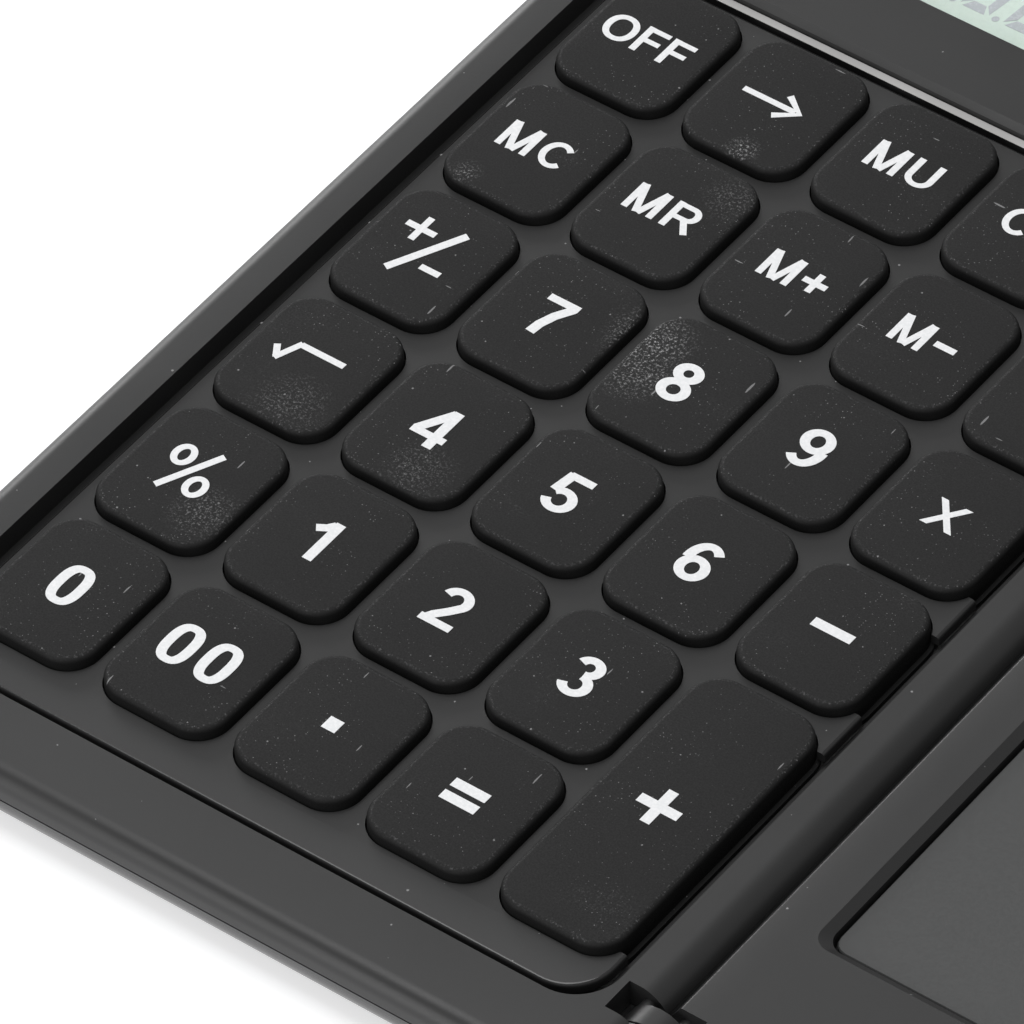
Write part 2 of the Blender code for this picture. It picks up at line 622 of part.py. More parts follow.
def stylus_bore():
    inner_end = HALF_LENGTH - STYLUS_FROM_BACK - STYLUS_LENGTH - FIT_GAP
    return rod(STYLUS_RADIUS + FIT_GAP, inner_end, HALF_LENGTH + BEYOND, STYLUS_X, STYLUS_Z, steps=24)


def erase_button_block(grow, bottom, top):
    """A pill in the middle of the chin, larger all round by grow."""
    x = TABLET_X
    y = (-HALF_LENGTH + SCREEN_FRONT) / 2
    half_x = 6.5 * MM + grow
    half_y = 3.0 * MM + grow
    return block((x - half_x, y - half_y, bottom), (x + half_x, y + half_y, top), corner=half_y * 0.98)


def make_erase_button(build):
    button_top = TOP - 0.05 * MM
    y = (-HALF_LENGTH + SCREEN_FRONT) / 2
    bm = erase_button_block(0.0, LIP_BOTTOM - 0.2 * MM, button_top)
    bevel(bm, level_edges(bm, button_top), 0.4 * MM, 2)
    widen_face(bm, bottom_face(bm), 1.0 * MM, 1.0 * MM, 0.6 * MM)
    build.part("erase_button", bm, "key", origin=(TABLET_X, y, TOP))


def make_tablet_shell(build):
    low, high = leaf_box(1, BELLY, PARTING - PARTING_GAP / 2)
    shell = build.part("tablet_lower_shell", block(low, high, bottom=BELLY_ROUND, **leaf_corners(1)), "shell")
    low, high = leaf_box(1, FLOOR_TOP, PARTING + BEYOND, SHELL_WALL)
    left = SPINE_EDGE + NOTCH_DEPTH + 1.8 * MM
    right = STYLUS_X - STYLUS_RADIUS - 2.3 * MM
    build.boolean(shell, block((left, low[1], low[2]), (right, high[1], high[2]), corner=CAVITY_CORNER,
                               bottom=CAVITY_ROUND, bottom_steps=3), "cavity")
    build.boolean(shell, stylus_bore(), "stylus_bore")
    for index, (low, high) in enumerate(notch_boxes(1)):
        build.boolean(shell, block(low, high), f"notch_{index}")
    slot_x, slot_y = lock_place()
    build.boolean(shell, block((slot_x - 3.3 * MM, slot_y - 2.3 * MM, -BEYOND),
                               (slot_x + 6.3 * MM, slot_y + 2.3 * MM, FLOOR_TOP + BEYOND),
                               corner=0.8 * MM), "lock_slot")
    battery_y = (-HALF_LENGTH + SCREEN_FRONT) / 2 + 10.0 * MM
    add_battery_bay(build, shell, TABLET_X + 20.0 * MM, battery_y, 10.0 * MM, 1.6 * MM, "tablet")
    add_feet(build, shell, 1, "tablet")


def lock_place():
    return TABLET_X - 20.0 * MM, SCREEN_BACK - 12.0 * MM


def make_lock_slider(build):
    """Erase lock under the tablet: a thumb pad in the slot with a wider retaining plate inside."""
    x, y = lock_place()
    bm = block((x - 3.0 * MM, y - 2.0 * MM, BELLY + 0.1 * MM),
               (x + 3.0 * MM, y + 2.0 * MM, FLOOR_TOP + 0.2 * MM), corner=0.6 * MM)
    slider = build.part("lock_slider", bm, "key", origin=(x, y, BELLY))
    build.boolean(slider, block((x - 6.5 * MM, y - 3.6 * MM, FLOOR_TOP + 0.15 * MM),
                                (x + 6.5 * MM, y + 3.6 * MM, FLOOR_TOP + 0.8 * MM),
                                corner=0.8 * MM), "keeper", "UNION")


def make_stylus(build):
    """Turned along +Z, then laid along Y with its cap at the back end of the leaf."""
    tip = 0.6 * MM
    profile = [(0.0, STYLUS_LENGTH), (STYLUS_RADIUS * 0.8, STYLUS_LENGTH),
               (STYLUS_RADIUS, STYLUS_LENGTH - 0.6 * MM), (STYLUS_RADIUS, STYLUS_LENGTH - 9.0 * MM),
               (STYLUS_RADIUS * 0.9, STYLUS_LENGTH - 9.4 * MM), (STYLUS_RADIUS, STYLUS_LENGTH - 9.8 * MM),
               (STYLUS_RADIUS, 10.0 * MM), (tip * 2, 1.6 * MM), (tip, 0.2 * MM), (0.0, 0.0)]
    bm = bmesh.new()
    verts = [bm.verts.new((radius, 0.0, height)) for radius, height in profile]
    for first, second in zip(verts, verts[1:]):
        bm.edges.new((first, second))
    mesh = bpy.data.meshes.new("stylus")
    bm.to_mesh(mesh)
    bm.free()
    stylus = bpy.data.objects.new("stylus", mesh)
    stylus.location = (STYLUS_X, HALF_LENGTH - STYLUS_FROM_BACK - STYLUS_LENGTH, STYLUS_Z)
    stylus.rotation_euler = (math.radians(-90), 0.0, 0.0)
    build.parts.objects.link(stylus)
    mesh.materials.append(build.materials["stylus"])
    turn = stylus.modifiers.new("turned", "SCREW")
    turn.axis = "Z"
    turn.steps = 20
    turn.render_steps = 20
    turn.use_merge_vertices = True
    turn.merge_threshold = 0.00005
    turn.use_smooth_shade = True


def make_tablet_inside(build):
    build.part("writing_film",
               block((SCREEN_LEFT, SCREEN_FRONT, SCREEN_TOP - FILM_THICKNESS),
                     (SCREEN_RIGHT, SCREEN_BACK, SCREEN_TOP),
                     corner=SCREEN_CORNER - 0.3 * MM, top=0.15 * MM, top_steps=1), "film")
    build.part("tablet_circuit_board",
               block((TABLET_X - 34.0 * MM, -HALF_LENGTH + 6.5 * MM, FLOOR_TOP + 0.3 * MM),
                     (TABLET_X + 4.0 * MM, -HALF_LENGTH + 28.0 * MM, FLOOR_TOP + 1.1 * MM),
                     corner=1.0 * MM), "board")


def main():
    empty_scene()
    build = Builder()
    make_upper_shell(build)
    make_lower_shell(build)
    make_key_plate(build)
    for name, centre, length, _ in key_centres():
        make_key(build, name, centre, length)
    make_keypad_inside(build)
    make_display(build)
    make_hinge_links(build)
    make_tablet_frame(build)
    make_tablet_shell(build)
    make_tablet_inside(build)
    make_erase_button(build)
    make_lock_slider(build)
    make_stylus(build)


main()
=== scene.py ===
"""Looks of the folding desk calculator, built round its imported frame. Metres, +Z up.

The keypad leaf is at -X, the writing-tablet leaf at +X, and the user sits at -Y.
"""
import math

import bmesh
import bpy
from mathutils import Matrix, Vector


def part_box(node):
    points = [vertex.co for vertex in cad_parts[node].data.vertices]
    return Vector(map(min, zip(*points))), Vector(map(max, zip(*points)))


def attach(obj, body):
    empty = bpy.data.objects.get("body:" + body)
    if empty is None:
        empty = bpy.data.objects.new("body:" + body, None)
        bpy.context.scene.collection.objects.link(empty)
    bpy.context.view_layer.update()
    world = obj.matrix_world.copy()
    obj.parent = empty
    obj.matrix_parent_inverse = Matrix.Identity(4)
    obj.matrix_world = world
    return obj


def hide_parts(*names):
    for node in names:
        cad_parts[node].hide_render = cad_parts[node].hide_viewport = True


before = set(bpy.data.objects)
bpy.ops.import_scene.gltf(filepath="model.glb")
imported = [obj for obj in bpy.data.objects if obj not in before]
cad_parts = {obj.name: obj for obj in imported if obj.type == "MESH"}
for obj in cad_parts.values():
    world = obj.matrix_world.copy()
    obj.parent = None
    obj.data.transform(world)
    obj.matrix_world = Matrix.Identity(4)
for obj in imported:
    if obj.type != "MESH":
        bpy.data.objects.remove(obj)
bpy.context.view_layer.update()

MM = 0.001

# Shapes that the frame's boxes don't tell, first those of both leaves
OUTER_CORNER = 8.0 * MM
SPINE_CORNER = 4.8 * MM
UPPER_DEPTH = 3.27 * MM
EDGE_ROUND = 2.2 * MM
SPINE_EASE = 1.0 * MM
TABLET_SPINE_LEAN = 1.40 * MM
TABLET_SPINE_ROUND = 0.15 * MM
BELLY_ROUND = 4.6 * MM
LOWER_WALL = 1.9 * MM
SPINE_WALL = 1.8 * MM
BORE_WALL = 2.3 * MM
SHELL_FLOOR = 1.2 * MM
INNER_CORNER = 3.4 * MM
INNER_ROUND = 3.2 * MM
SHELL_STEPS = {"corner_steps": 16, "round_steps": 12}

# Keypad: the gap round the plate, the wall behind it, the plate and the keys
MOAT = 1.55 * MM
RISER_LEAN = 0.62 * MM
RISER_FOOT = 0.7 * MM
PLATE_CORNER = 5.5 * MM
PLATE_BACK_CORNER = 1.5 * MM
PLATE_ROUND = 0.45 * MM
PLATE_SETBACK = 0.5 * MM
SLOT_INSET = 2.3 * MM
KEY_CORNER = 3.78 * MM
KEY_ROUND = 0.7 * MM
KEY_FLANGE = 0.5 * MM
KEY_CLEARANCE = 0.2 * MM
FLANGE_THICK = 0.6 * MM

# Hinge notches and barrels at both ends of the spine
NOTCH_DEPTH = 4.65 * MM
NOTCH_FAR = 14.7 * MM
NOTCH_NEAR = 10.6 * MM
BARREL_RADIUS = 4.0 * MM
BARREL_END = 1.0 * MM

# Tablet screen, its sloping surround, the stylus bore and the erase button's hole
SCREEN_SLOPE = 1.03 * MM
SCREEN_GROOVE = 0.4 * MM
SCREEN_STEP = 0.4 * MM
SCREEN_CORNER = 2.0 * MM
STYLUS_BORE = 3.0 * MM
BUTTON_RIM = 0.8 * MM
FULL_ROUND = 0.98

# Underside: battery cover and lock slot
COVER_CORNER = 2.0 * MM
COVER_GAP = 0.25 * MM
COVER_RECESS = 0.7 * MM
COVER_LEDGE = 1.25 * MM
SCREW_LEDGE = 6.5 * MM
LOCK_SLOT = (-3.3 * MM, 6.3 * MM)
LOCK_SLOT_HALF = 2.3 * MM

# Cuts run past the surface, loose parts sit with a gap, and edges above this many degrees stay sharp
BEYOND = 2.0 * MM
FIT_GAP = 0.3 * MM
SHARP_ANGLE = 20.0

# Display: a slanted row of digits that are not lit
DIGITS = 12
DIGIT_MARGIN = 5.0 * MM
DIGIT_BASE = 3.1 * MM
SEGMENT_HEIGHT = 13.5 * MM
SEGMENT_PEN = 1.25 * MM
SEGMENT_GAP = 0.12 * MM
SEGMENT_SLANT = 7.0
SEGMENT_LIFT = 0.02 * MM
SEGMENT_THICK = 0.03 * MM
POINT_RADIUS = 0.42 * MM

# Legends: letters and digits are strokes of a pen that is wider on upright strokes than on level ones
DIGIT_HEIGHT = 5.95 * MM
LETTER_HEIGHT = 4.1 * MM
PEN_UPRIGHT = 0.196
PEN_LEVEL = 0.156
INK = 0.03 * MM
STROKE_STEP = 0.0002 * MM
LEGEND_SHIFT = Vector((-0.3 * MM, 0.2 * MM, 0.0))

# Camera and light
CAMERA_AIM = Vector((-0.054494, -0.026141, 0.00733))
CAMERA_AZIMUTH = 40.189
CAMERA_ELEVATION = 45.763
CAMERA_ROLL = -3.918
CAMERA_DISTANCE = 1.1105
CAMERA_LENS = 378.07
SKY_STRENGTH = 0.52
FLOOR_GLOW = 0.45

# Finishes: bump heights, and the noise, reach and least size (as a share) of ragged specks
GRAIN = 0.02 * MM
FINE_GRAIN = 0.01 * MM
RAGGED_SCALE = 7000.0
SPECK_RAGGED = 0.10 * MM
SPECK_LEAST = 0.35

ROOT_BODY = "calculator_leaf"
TABLET_BODY = "tablet_leaf"


# ---------------------------------------------------------------- frame
LOWER_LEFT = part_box("calculator_lower_shell")
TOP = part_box("tablet_upper_frame")[1].z
PARTING_TOP = TOP - UPPER_DEPTH
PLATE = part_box("key_plate")
DECK = PLATE[1].z
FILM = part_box("writing_film")
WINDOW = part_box("display_window")
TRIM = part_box("trim_strip")
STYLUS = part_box("stylus")
HALF_LENGTH = LOWER_LEFT[1].y
BARREL_Z = (STYLUS[0].z + STYLUS[1].z) / 2
KEY_NODES = sorted(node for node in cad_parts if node.startswith("key_")
                   and node not in ("key_plate", "key_membrane"))


# ---------------------------------------------------------------- mesh helpers

def bevel(bm, edges, width, steps):
    bmesh.ops.bevel(bm, geom=edges, offset=width, offset_type="OFFSET", segments=steps,
                    profile=0.5, affect="EDGES", clamp_overlap=False)


def upright_edge(bm, x, y):
    for edge in bm.edges:
        if all((vert.co.xy - Vector((x, y))).length < 1e-7 for vert in edge.verts):
            return edge
    return None


def level_edges(bm, z):
    return [edge for edge in bm.edges if all(abs(vert.co.z - z) < 1e-7 for vert in edge.verts)]


def block(low, high, corner=0.0, right_corner=None, back_corner=None, top=0.0, bottom=0.0,
          corner_steps=10, round_steps=8):
    """A box with rounded upright, top and bottom edges; its +X or its +Y corners may differ."""
    bm = bmesh.new()
    bmesh.ops.create_cube(bm, size=1.0)
    low = Vector(low)
    high = Vector(high)
    stretch = Matrix.Diagonal((*(high - low), 1.0))
    bmesh.ops.transform(bm, matrix=Matrix.Translation((low + high) / 2) @ stretch, verts=bm.verts)
    corners = [vert.co.copy() for vert in bm.verts if vert.co.z < (low.z + high.z) / 2]
    for place in corners:
        radius = corner
        if right_corner is not None and place.x > (low.x + high.x) / 2:
            radius = right_corner
        if back_corner is not None and place.y > (low.y + high.y) / 2:
            radius = back_corner
        if radius:
            bevel(bm, [upright_edge(bm, place.x, place.y)], radius, corner_steps)
    if top:
        bevel(bm, level_edges(bm, max(vert.co.z for vert in bm.verts)), top, round_steps)
    if bottom:
        bevel(bm, level_edges(bm, min(vert.co.z for vert in bm.verts)), bottom, round_steps)
    return bm


def rod(radius, start, end, x, z, steps=64):
    """A cylinder along Y."""
    bm = bmesh.new()
    bmesh.ops.create_cone(bm, cap_ends=True, segments=steps, radius1=radius, radius2=radius,
                          depth=end - start)
    turn = Matrix.Rotation(math.radians(-90), 4, "X")
    middle = Matrix.Translation((x, (start + end) / 2, z))
    bmesh.ops.transform(bm, matrix=middle @ turn, verts=bm.verts)
    return bm


def add_mesh(target, source):
    """Adds one mesh to another and frees it."""
    mesh = bpy.data.meshes.new("shell")
    source.to_mesh(mesh)
    source.free()
    target.from_mesh(mesh)
    bpy.data.meshes.remove(mesh)


def new_object(name, bm, material=None):
    bmesh.ops.recalc_face_normals(bm, faces=bm.faces)
    mesh = bpy.data.meshes.new(name)
    bm.to_mesh(mesh)
    bm.free()
    obj = bpy.data.objects.new(name, mesh)
    bpy.context.scene.collection.objects.link(obj)
    if material is not None:
        mesh.materials.append(material)
        finish_normals(mesh)
    return obj


def finish_normals(mesh):
    mesh.shade_smooth()
    mesh.set_sharp_from_angle(angle=math.radians(SHARP_ANGLE))


def thicken(bm, height):
    """Raises a copy of every face, so that flat shapes become a thin layer."""
    made = bmesh.ops.extrude_face_region(bm, geom=bm.faces[:])["geom"]
    raised = [item for item in made if isinstance(item, bmesh.types.BMVert)]
    bmesh.ops.translate(bm, vec=(0.0, 0.0, height), verts=raised)


def carve(obj, tools):
    """Joins or cuts with each (mesh, operation) in turn and keeps the result as the object's mesh."""
    for bm, operation in tools:
        tool = new_object("tool", bm)
        modifier = obj.modifiers.new("carve", "BOOLEAN")
        modifier.operation = operation
        modifier.solver = "EXACT"
        modifier.object = tool
        bpy.context.view_layer.update()
        evaluated = obj.evaluated_get(bpy.context.evaluated_depsgraph_get())
        mesh = bpy.data.meshes.new_from_object(evaluated)
        obj.modifiers.clear()
        old = obj.data
        obj.data = mesh
        bpy.data.meshes.remove(old)
        bpy.data.objects.remove(tool, do_unlink=True)
    finish_normals(obj.data)


def stand_for(obj, body, slot, *nodes):
    """Hangs a piece on a body and hides the CAD nodes that it stands for."""
    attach(obj, body)
    if nodes:
        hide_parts(*nodes)


# ---------------------------------------------------------------- materials

class Paint:
    """A node material under construction; every method adds nodes and returns an output socket."""

    def __init__(self, name):
        self.material = bpy.data.materials.new(name)
        self.material.use_nodes = True
        self.tree = self.material.node_tree
        self.shader = self.tree.nodes["Principled BSDF"]
        coordinates = self.tree.nodes.new("ShaderNodeTexCoord")
        self.place = coordinates.outputs["Object"]

    def link(self, output, node_input):
        self.tree.links.new(output, node_input)

    def set(self, **values):
        for name, value in values.items():
            self.shader.inputs[name.replace("_", " ")].default_value = value

    def math(self, operation, first, second=None, third=None, clamp=False):
        node = self.tree.nodes.new("ShaderNodeMath")
        node.operation = operation
        node.use_clamp = clamp
        for index, value in enumerate((first, second, third)):
            if value is None:
                continue
            if isinstance(value, (int, float)):
                node.inputs[index].default_value = value
            else:
                self.link(value, node.inputs[index])
        return node.outputs[0]

    def stretch(self, scale, turn=0.0):
        node = self.tree.nodes.new("ShaderNodeMapping")
        self.link(self.place, node.inputs["Vector"])
        node.inputs["Scale"].default_value = scale
        node.inputs["Rotation"].default_value = (0.0, 0.0, math.radians(turn))
        return node.outputs["Vector"]

    def ragged(self, vector, reach):
        """The same coordinates, pushed about a little by noise."""
        push = self.tree.nodes.new("ShaderNodeTexNoise")
        self.link(vector, push.inputs["Vector"])
        push.inputs["Scale"].default_value = RAGGED_SCALE
        node = self.tree.nodes.new("ShaderNodeVectorMath")
        node.operation = "MULTIPLY_ADD"
        self.link(push.outputs["Color"], node.inputs[0])
        node.inputs[1].default_value = (reach, reach, reach)
        self.link(vector, node.inputs[2])
        return node.outputs["Vector"]

    def noise(self, scale, detail=2.0, roughness=0.5, vector=None):
        node = self.tree.nodes.new("ShaderNodeTexNoise")
        self.link(vector or self.place, node.inputs["Vector"])
        node.inputs["Scale"].default_value = scale
        node.inputs["Detail"].default_value = detail
        node.inputs["Roughness"].default_value = roughness
        return node.outputs["Fac"]

    def cells(self, scale, vector=None):
        """Voronoi cells in plan: distance to the nearest point, and two random greys for each cell."""
        node = self.tree.nodes.new("ShaderNodeTexVoronoi")
        node.voronoi_dimensions = "2D"
        self.link(vector or self.place, node.inputs["Vector"])
        node.inputs["Scale"].default_value = scale
        split = self.tree.nodes.new("ShaderNodeSeparateColor")
        self.link(node.outputs["Color"], split.inputs[0])
        return node.outputs["Distance"], split.outputs[0], split.outputs[1]

    def ramp(self, value, low, high, out_low=0.0, out_high=1.0):
        node = self.tree.nodes.new("ShaderNodeMapRange")
        node.interpolation_type = "SMOOTHSTEP"
        self.link(value, node.inputs["Value"])
        limits = {"From Min": low, "From Max": high, "To Min": out_low, "To Max": out_high}
        for name, number in limits.items():
            node.inputs[name].default_value = number
        return node.outputs["Result"]

    def mix(self, factor, first, second):
        node = self.tree.nodes.new("ShaderNodeMix")
        node.data_type = "RGBA"
        self.link(factor, node.inputs["Factor"])
        for socket, value in ((node.inputs["A"], first), (node.inputs["B"], second)):
            if isinstance(value, tuple):
                socket.default_value = (*value, 1.0)
            else:
                self.link(value, socket)
        return node.outputs["Result"]

    def facing_up(self, low=0.6, high=0.95):
        """1 where the surface faces up, 0 on walls."""
        geometry = self.tree.nodes.new("ShaderNodeNewGeometry")
        split = self.tree.nodes.new("ShaderNodeSeparateXYZ")
        self.link(geometry.outputs["Normal"], split.inputs[0])
        return self.ramp(split.outputs["Z"], low, high)

    def rounded_edge(self):
        """1 on the outer half of a rounding at the top of a piece."""
        inner = self.facing_up(0.985, 0.999)
        return self.math("SUBTRACT", self.facing_up(0.72, 0.90), inner, clamp=True)

    def near(self, point, radius, softness=0.5):
        """1 near a point of the surface, fading to 0 at the radius."""
        node = self.tree.nodes.new("ShaderNodeVectorMath")
        node.operation = "DISTANCE"
        self.link(self.place, node.inputs[0])
        node.inputs[1].default_value = point
        return self.ramp(node.outputs["Value"], radius * (1 - softness), radius, 1.0, 0.0)

    def bump(self, height, strength, distance):
        node = self.tree.nodes.new("ShaderNodeBump")
        node.inputs["Strength"].default_value = strength
        node.inputs["Distance"].default_value = distance
        self.link(height, node.inputs["Height"])
        self.link(node.outputs["Normal"], self.shader.inputs["Normal"])

    def color(self, value):
        self.link(value, self.shader.inputs["Base Color"])

    def roughness(self, value):
        self.link(value, self.shader.inputs["Roughness"])


def grey(level):
    return (level, level, level * 1.01)


def specks(paint, scale, share, size, stretch=(1.0, 1.0, 1.0), turn=0.0):
    """Small bright spots of dust: a share of the cells holds one, of varied size and ragged outline."""
    vector = paint.ragged(paint.stretch(stretch, turn), SPECK_RAGGED)
    distance, pick, spread = paint.cells(scale, vector)
    radius = paint.math("MULTIPLY_ADD", spread, size, size * SPECK_LEAST)
    inside = paint.math("LESS_THAN", distance, radius)
    chosen = paint.math("GREATER_THAN", pick, 1.0 - share)
    return paint.math("MULTIPLY", inside, chosen)


def moulded(name, level, roughness, grain, dust=0.05, edge_gloss=0.0):
    """Spark-eroded dark plastic: uneven gloss, a fine grain, worn smooth edges and a few specks of dust."""
    paint = Paint(name)
    broad = paint.noise(35.0, 3.0)
    fine = paint.noise(3800.0, 2.0, 0.6)
    base = paint.mix(broad, grey(level * 0.9), grey(level * 1.1))
    spots = specks(paint, 420.0, dust, 0.042)
    upward = paint.facing_up()
    dusty = paint.math("MULTIPLY", spots, upward)
    paint.color(paint.mix(dusty, base, grey(0.22)))
    uneven = paint.math("ADD", paint.ramp(broad, 0.3, 0.7, roughness - 0.03, roughness + 0.03),
                        paint.ramp(fine, 0.3, 0.7, -0.02, 0.03))
    smooth_edge = paint.math("MULTIPLY", paint.rounded_edge(), edge_gloss)
    paint.roughness(paint.math("SUBTRACT", uneven, smooth_edge))
    paint.bump(fine, grain, GRAIN)
    paint.set(Specular_IOR_Level=0.40)
    return paint.material


def key_rubber(name, smudges):
    """Matte black rubber that holds lint: specks, short fibres and a few wiped, powdery patches, and a
    painted highlight along the rounded rim of the top.
    """
    paint = Paint(name)
    broad = paint.noise(60.0, 3.0)
    fine = paint.noise(5200.0, 2.0, 0.6)
    upward = paint.facing_up(0.35, 0.9)
    # The key's top is given a lighter grey than its walls.
    top_tone = paint.mix(broad, grey(0.0075), grey(0.0100))
    base = paint.mix(upward, grey(0.0045), top_tone)
    gather = paint.ramp(paint.noise(110.0, 2.0), 0.40, 0.66)
    spots = specks(paint, 2500.0, 0.15, 0.12)
    spots = paint.math("MULTIPLY", spots, gather)
    large = specks(paint, 480.0, 0.05, 0.042)
    fibres = specks(paint, 1100.0, 0.020, 0.10, (1.0, 0.14, 1.0), 30.0)
    crossed = specks(paint, 1000.0, 0.016, 0.10, (0.14, 1.0, 1.0), -20.0)
    threads = paint.math("MAXIMUM", fibres, crossed)
    lint = paint.math("MAXIMUM", paint.math("MAXIMUM", spots, large), threads)
    powder = paint.ramp(paint.noise(3400.0, 3.0, 0.75), 0.50, 0.74)
    film = paint.ramp(paint.noise(130.0, 3.0), 0.55, 0.85, 0.0, 0.10)
    patches = None
    for place, radius, amount in smudges:
        patch = paint.math("MULTIPLY", paint.near(place, radius, 0.85), amount)
        patches = patch if patches is None else paint.math("MAXIMUM", patches, patch)
    # The rounded rim of the top gets some of the pale powder tone too: a painted highlight along the rim.
    edge = paint.math("MULTIPLY", paint.rounded_edge(), 0.14)
    reach = paint.math("MAXIMUM", paint.math("MAXIMUM", patches, film), edge)
    wiped = paint.math("MULTIPLY", powder, reach)
    haze_and_rim_highlight = paint.math("MULTIPLY", wiped, upward)
    shown = paint.math("MULTIPLY", lint, upward)
    # Pale grey where fingers wiped the powder about, and along the top's rim as painted highlight.
    hazed_and_highlit_rim = paint.mix(haze_and_rim_highlight, base, grey(0.42))
    paint.color(paint.mix(paint.math("MULTIPLY", shown, 0.34), hazed_and_highlit_rim, grey(0.45)))
    paint.roughness(paint.ramp(fine, 0.3, 0.7, 0.60, 0.78))
    paint.bump(fine, 0.30, GRAIN)
    paint.set(Specular_IOR_Level=0.21)
    return paint.material


def printed_ink():
    """White print, a little uneven."""
    paint = Paint("printed_ink")
    fine = paint.noise(2600.0, 2.0, 0.6)
    paint.color(paint.mix(paint.ramp(fine, 0.35, 0.75), (0.64, 0.65, 0.66), (0.72, 0.72, 0.73)))
    paint.roughness(paint.ramp(fine, 0.3, 0.7, 0.45, 0.6))
    paint.bump(fine, 0.2, FINE_GRAIN)
    return paint.material


def silver():
    """Pale lacquered metal, brushed along the strip; its upright sides are painted near black as painted
    shade.
    """
    paint = Paint("silver_trim")
    brushed = paint.noise(900.0, 3.0, 0.6, paint.stretch((0.06, 1.0, 1.0)))
    flat = paint.mix(brushed, (0.40, 0.395, 0.39), (0.46, 0.455, 0.45))
    # Upright faces get a near-black colour: painted shade of the dark gap beside the strip.
    paint.color(paint.mix(paint.facing_up(0.80, 0.98), grey(0.02), flat))
    paint.roughness(paint.ramp(brushed, 0.3, 0.7, 0.42, 0.52))
    paint.set(Metallic=0.30)
    paint.bump(brushed, 0.1, FINE_GRAIN)
    return paint.material


def lcd_glass():
    """Reflective display under its lens: pale green with a faint fine mottling."""
    paint = Paint("lcd_background")
    fine = paint.noise(1800.0, 3.0, 0.7)
    broad = paint.noise(45.0, 2.0)
    pale = paint.mix(broad, (0.60, 0.70, 0.64), (0.66, 0.75, 0.69))
    paint.color(paint.mix(paint.ramp(fine, 0.3, 0.8, 0.0, 0.35), pale, (0.52, 0.61, 0.56)))
    paint.roughness(paint.ramp(fine, 0.3, 0.7, 0.18, 0.26))
    return paint.material


def lcd_segment():
    """Grey print of a segment that is not lit."""
    paint = Paint("lcd_segment")
    fine = paint.noise(2400.0, 3.0, 0.7)
    paint.color(paint.mix(fine, (0.43, 0.46, 0.49), (0.48, 0.50, 0.53)))
    paint.roughness(paint.ramp(fine, 0.3, 0.7, 0.2, 0.3))
    return paint.material


def clear_lens():
    """Thin clear window, almost without reflections of its own."""
    paint = Paint("clear_lens")
    fine = paint.noise(700.0, 2.0)
    paint.color(paint.mix(fine, (0.97, 0.99, 0.98), (1.0, 1.0, 1.0)))
    paint.roughness(paint.ramp(fine, 0.3, 0.7, 0.0, 0.02))
    paint.set(IOR=1.05, Transmission_Weight=1.0)
    return paint.material


def writing_film_finish():
    """Satin dark film with a few faint scratches."""
    paint = Paint("writing_film_finish")
    broad = paint.noise(25.0, 2.0)
    fine = paint.noise(2800.0, 2.0, 0.6)
    strokes = specks(paint, 130.0, 0.03, 0.06, (1.0, 0.1, 1.0), 25.0)
    base = paint.mix(broad, (0.034, 0.035, 0.035), (0.039, 0.040, 0.040))
    paint.color(paint.mix(paint.math("MULTIPLY", strokes, 0.2), base, grey(0.12)))
    paint.roughness(paint.ramp(fine, 0.3, 0.7, 0.34, 0.42))
    paint.bump(fine, 0.15, FINE_GRAIN)
    return paint.material


def simple_finish(name, color, roughness, metallic=0.0, scale=1200.0, grain=0.2):
    """Parts that are seldom seen: an uneven tone, uneven gloss and a light grain."""
    paint = Paint(name)
    fine = paint.noise(scale, 3.0, 0.6)
    darker = tuple(channel * 0.85 for channel in color)
    paint.color(paint.mix(fine, darker, color))
    paint.roughness(paint.ramp(fine, 0.3, 0.7, roughness - 0.05, roughness + 0.05))
    paint.bump(fine, grain, GRAIN)
    paint.set(Metallic=metallic)
    return paint.material


def key_middle(node):
    low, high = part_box(node)
    return Vector(((low.x + high.x) / 2, (low.y + high.y) / 2, high.z))


# Where fingers wipe most: key, offset from its middle in millimetres, radius in millimetres, amount
SMUDGES = [
    ("key_8", -6.6, 3.2, 6.2, 1.0),
    ("key_8", -5.0, -1.0, 5.4, 0.7),
    ("key_backspace", 1.2, -7.6, 2.4, 0.9),
    ("key_percent", 4.5, -3.5, 4.8, 0.45),
    ("key_square_root", 2.0, -5.5, 5.4, 0.32),
    ("key_4", 2.0, -5.5, 5.0, 0.32),
    ("key_memory_recall", 5.0, 5.5, 4.5, 0.32),
    ("key_memory_clear", -4.0, -7.2, 2.2, 0.5),
]


def make_materials():
    smudges = [(key_middle(node) + Vector((x, y, 0.0)) * MM, radius * MM, amount)
               for node, x, y, radius, amount in SMUDGES]
    return {
        "shell": moulded("shell_plastic", 0.014, 0.40, 0.25),
        "plate": moulded("plate_plastic", 0.016, 0.38, 0.15, dust=0.08, edge_gloss=0.26),
        # The lower shells and battery covers get a lighter grey than the upper shell: a painted reflection
        # of the bright floor on the same black plastic.
        "belly": moulded("belly_painted_reflection", 0.040, 0.16, 0.06, dust=0.02),
        "key": key_rubber("key_rubber", smudges),
        "ink": printed_ink(),
        "trim": silver(),
        "lcd": lcd_glass(),
        "segment": lcd_segment(),
        "lens": clear_lens(),
        "film": writing_film_finish(),
        "board": simple_finish("green_board", (0.03, 0.16, 0.07), 0.5),
        "silicone": simple_finish("grey_silicone", (0.45, 0.45, 0.45), 0.75),
        "steel": simple_finish("plated_steel", (0.55, 0.55, 0.56), 0.28, 1.0),
        "rubber": simple_finish("foot_rubber", (0.012, 0.012, 0.012), 0.85),
        "stylus": simple_finish("stylus_plastic", (0.02, 0.02, 0.02), 0.40),
    }


# ---------------------------------------------------------------- legends

def arc(x, y, width, height, start, end, steps=22):
    """Points on an ellipse of that half width and half height, from one angle to another in degrees."""
    angles = [math.radians(start + (end - start) * i / steps) for i in range(steps + 1)]
    return [(x + width * math.cos(angle), y + height * math.sin(angle)) for angle in angles]


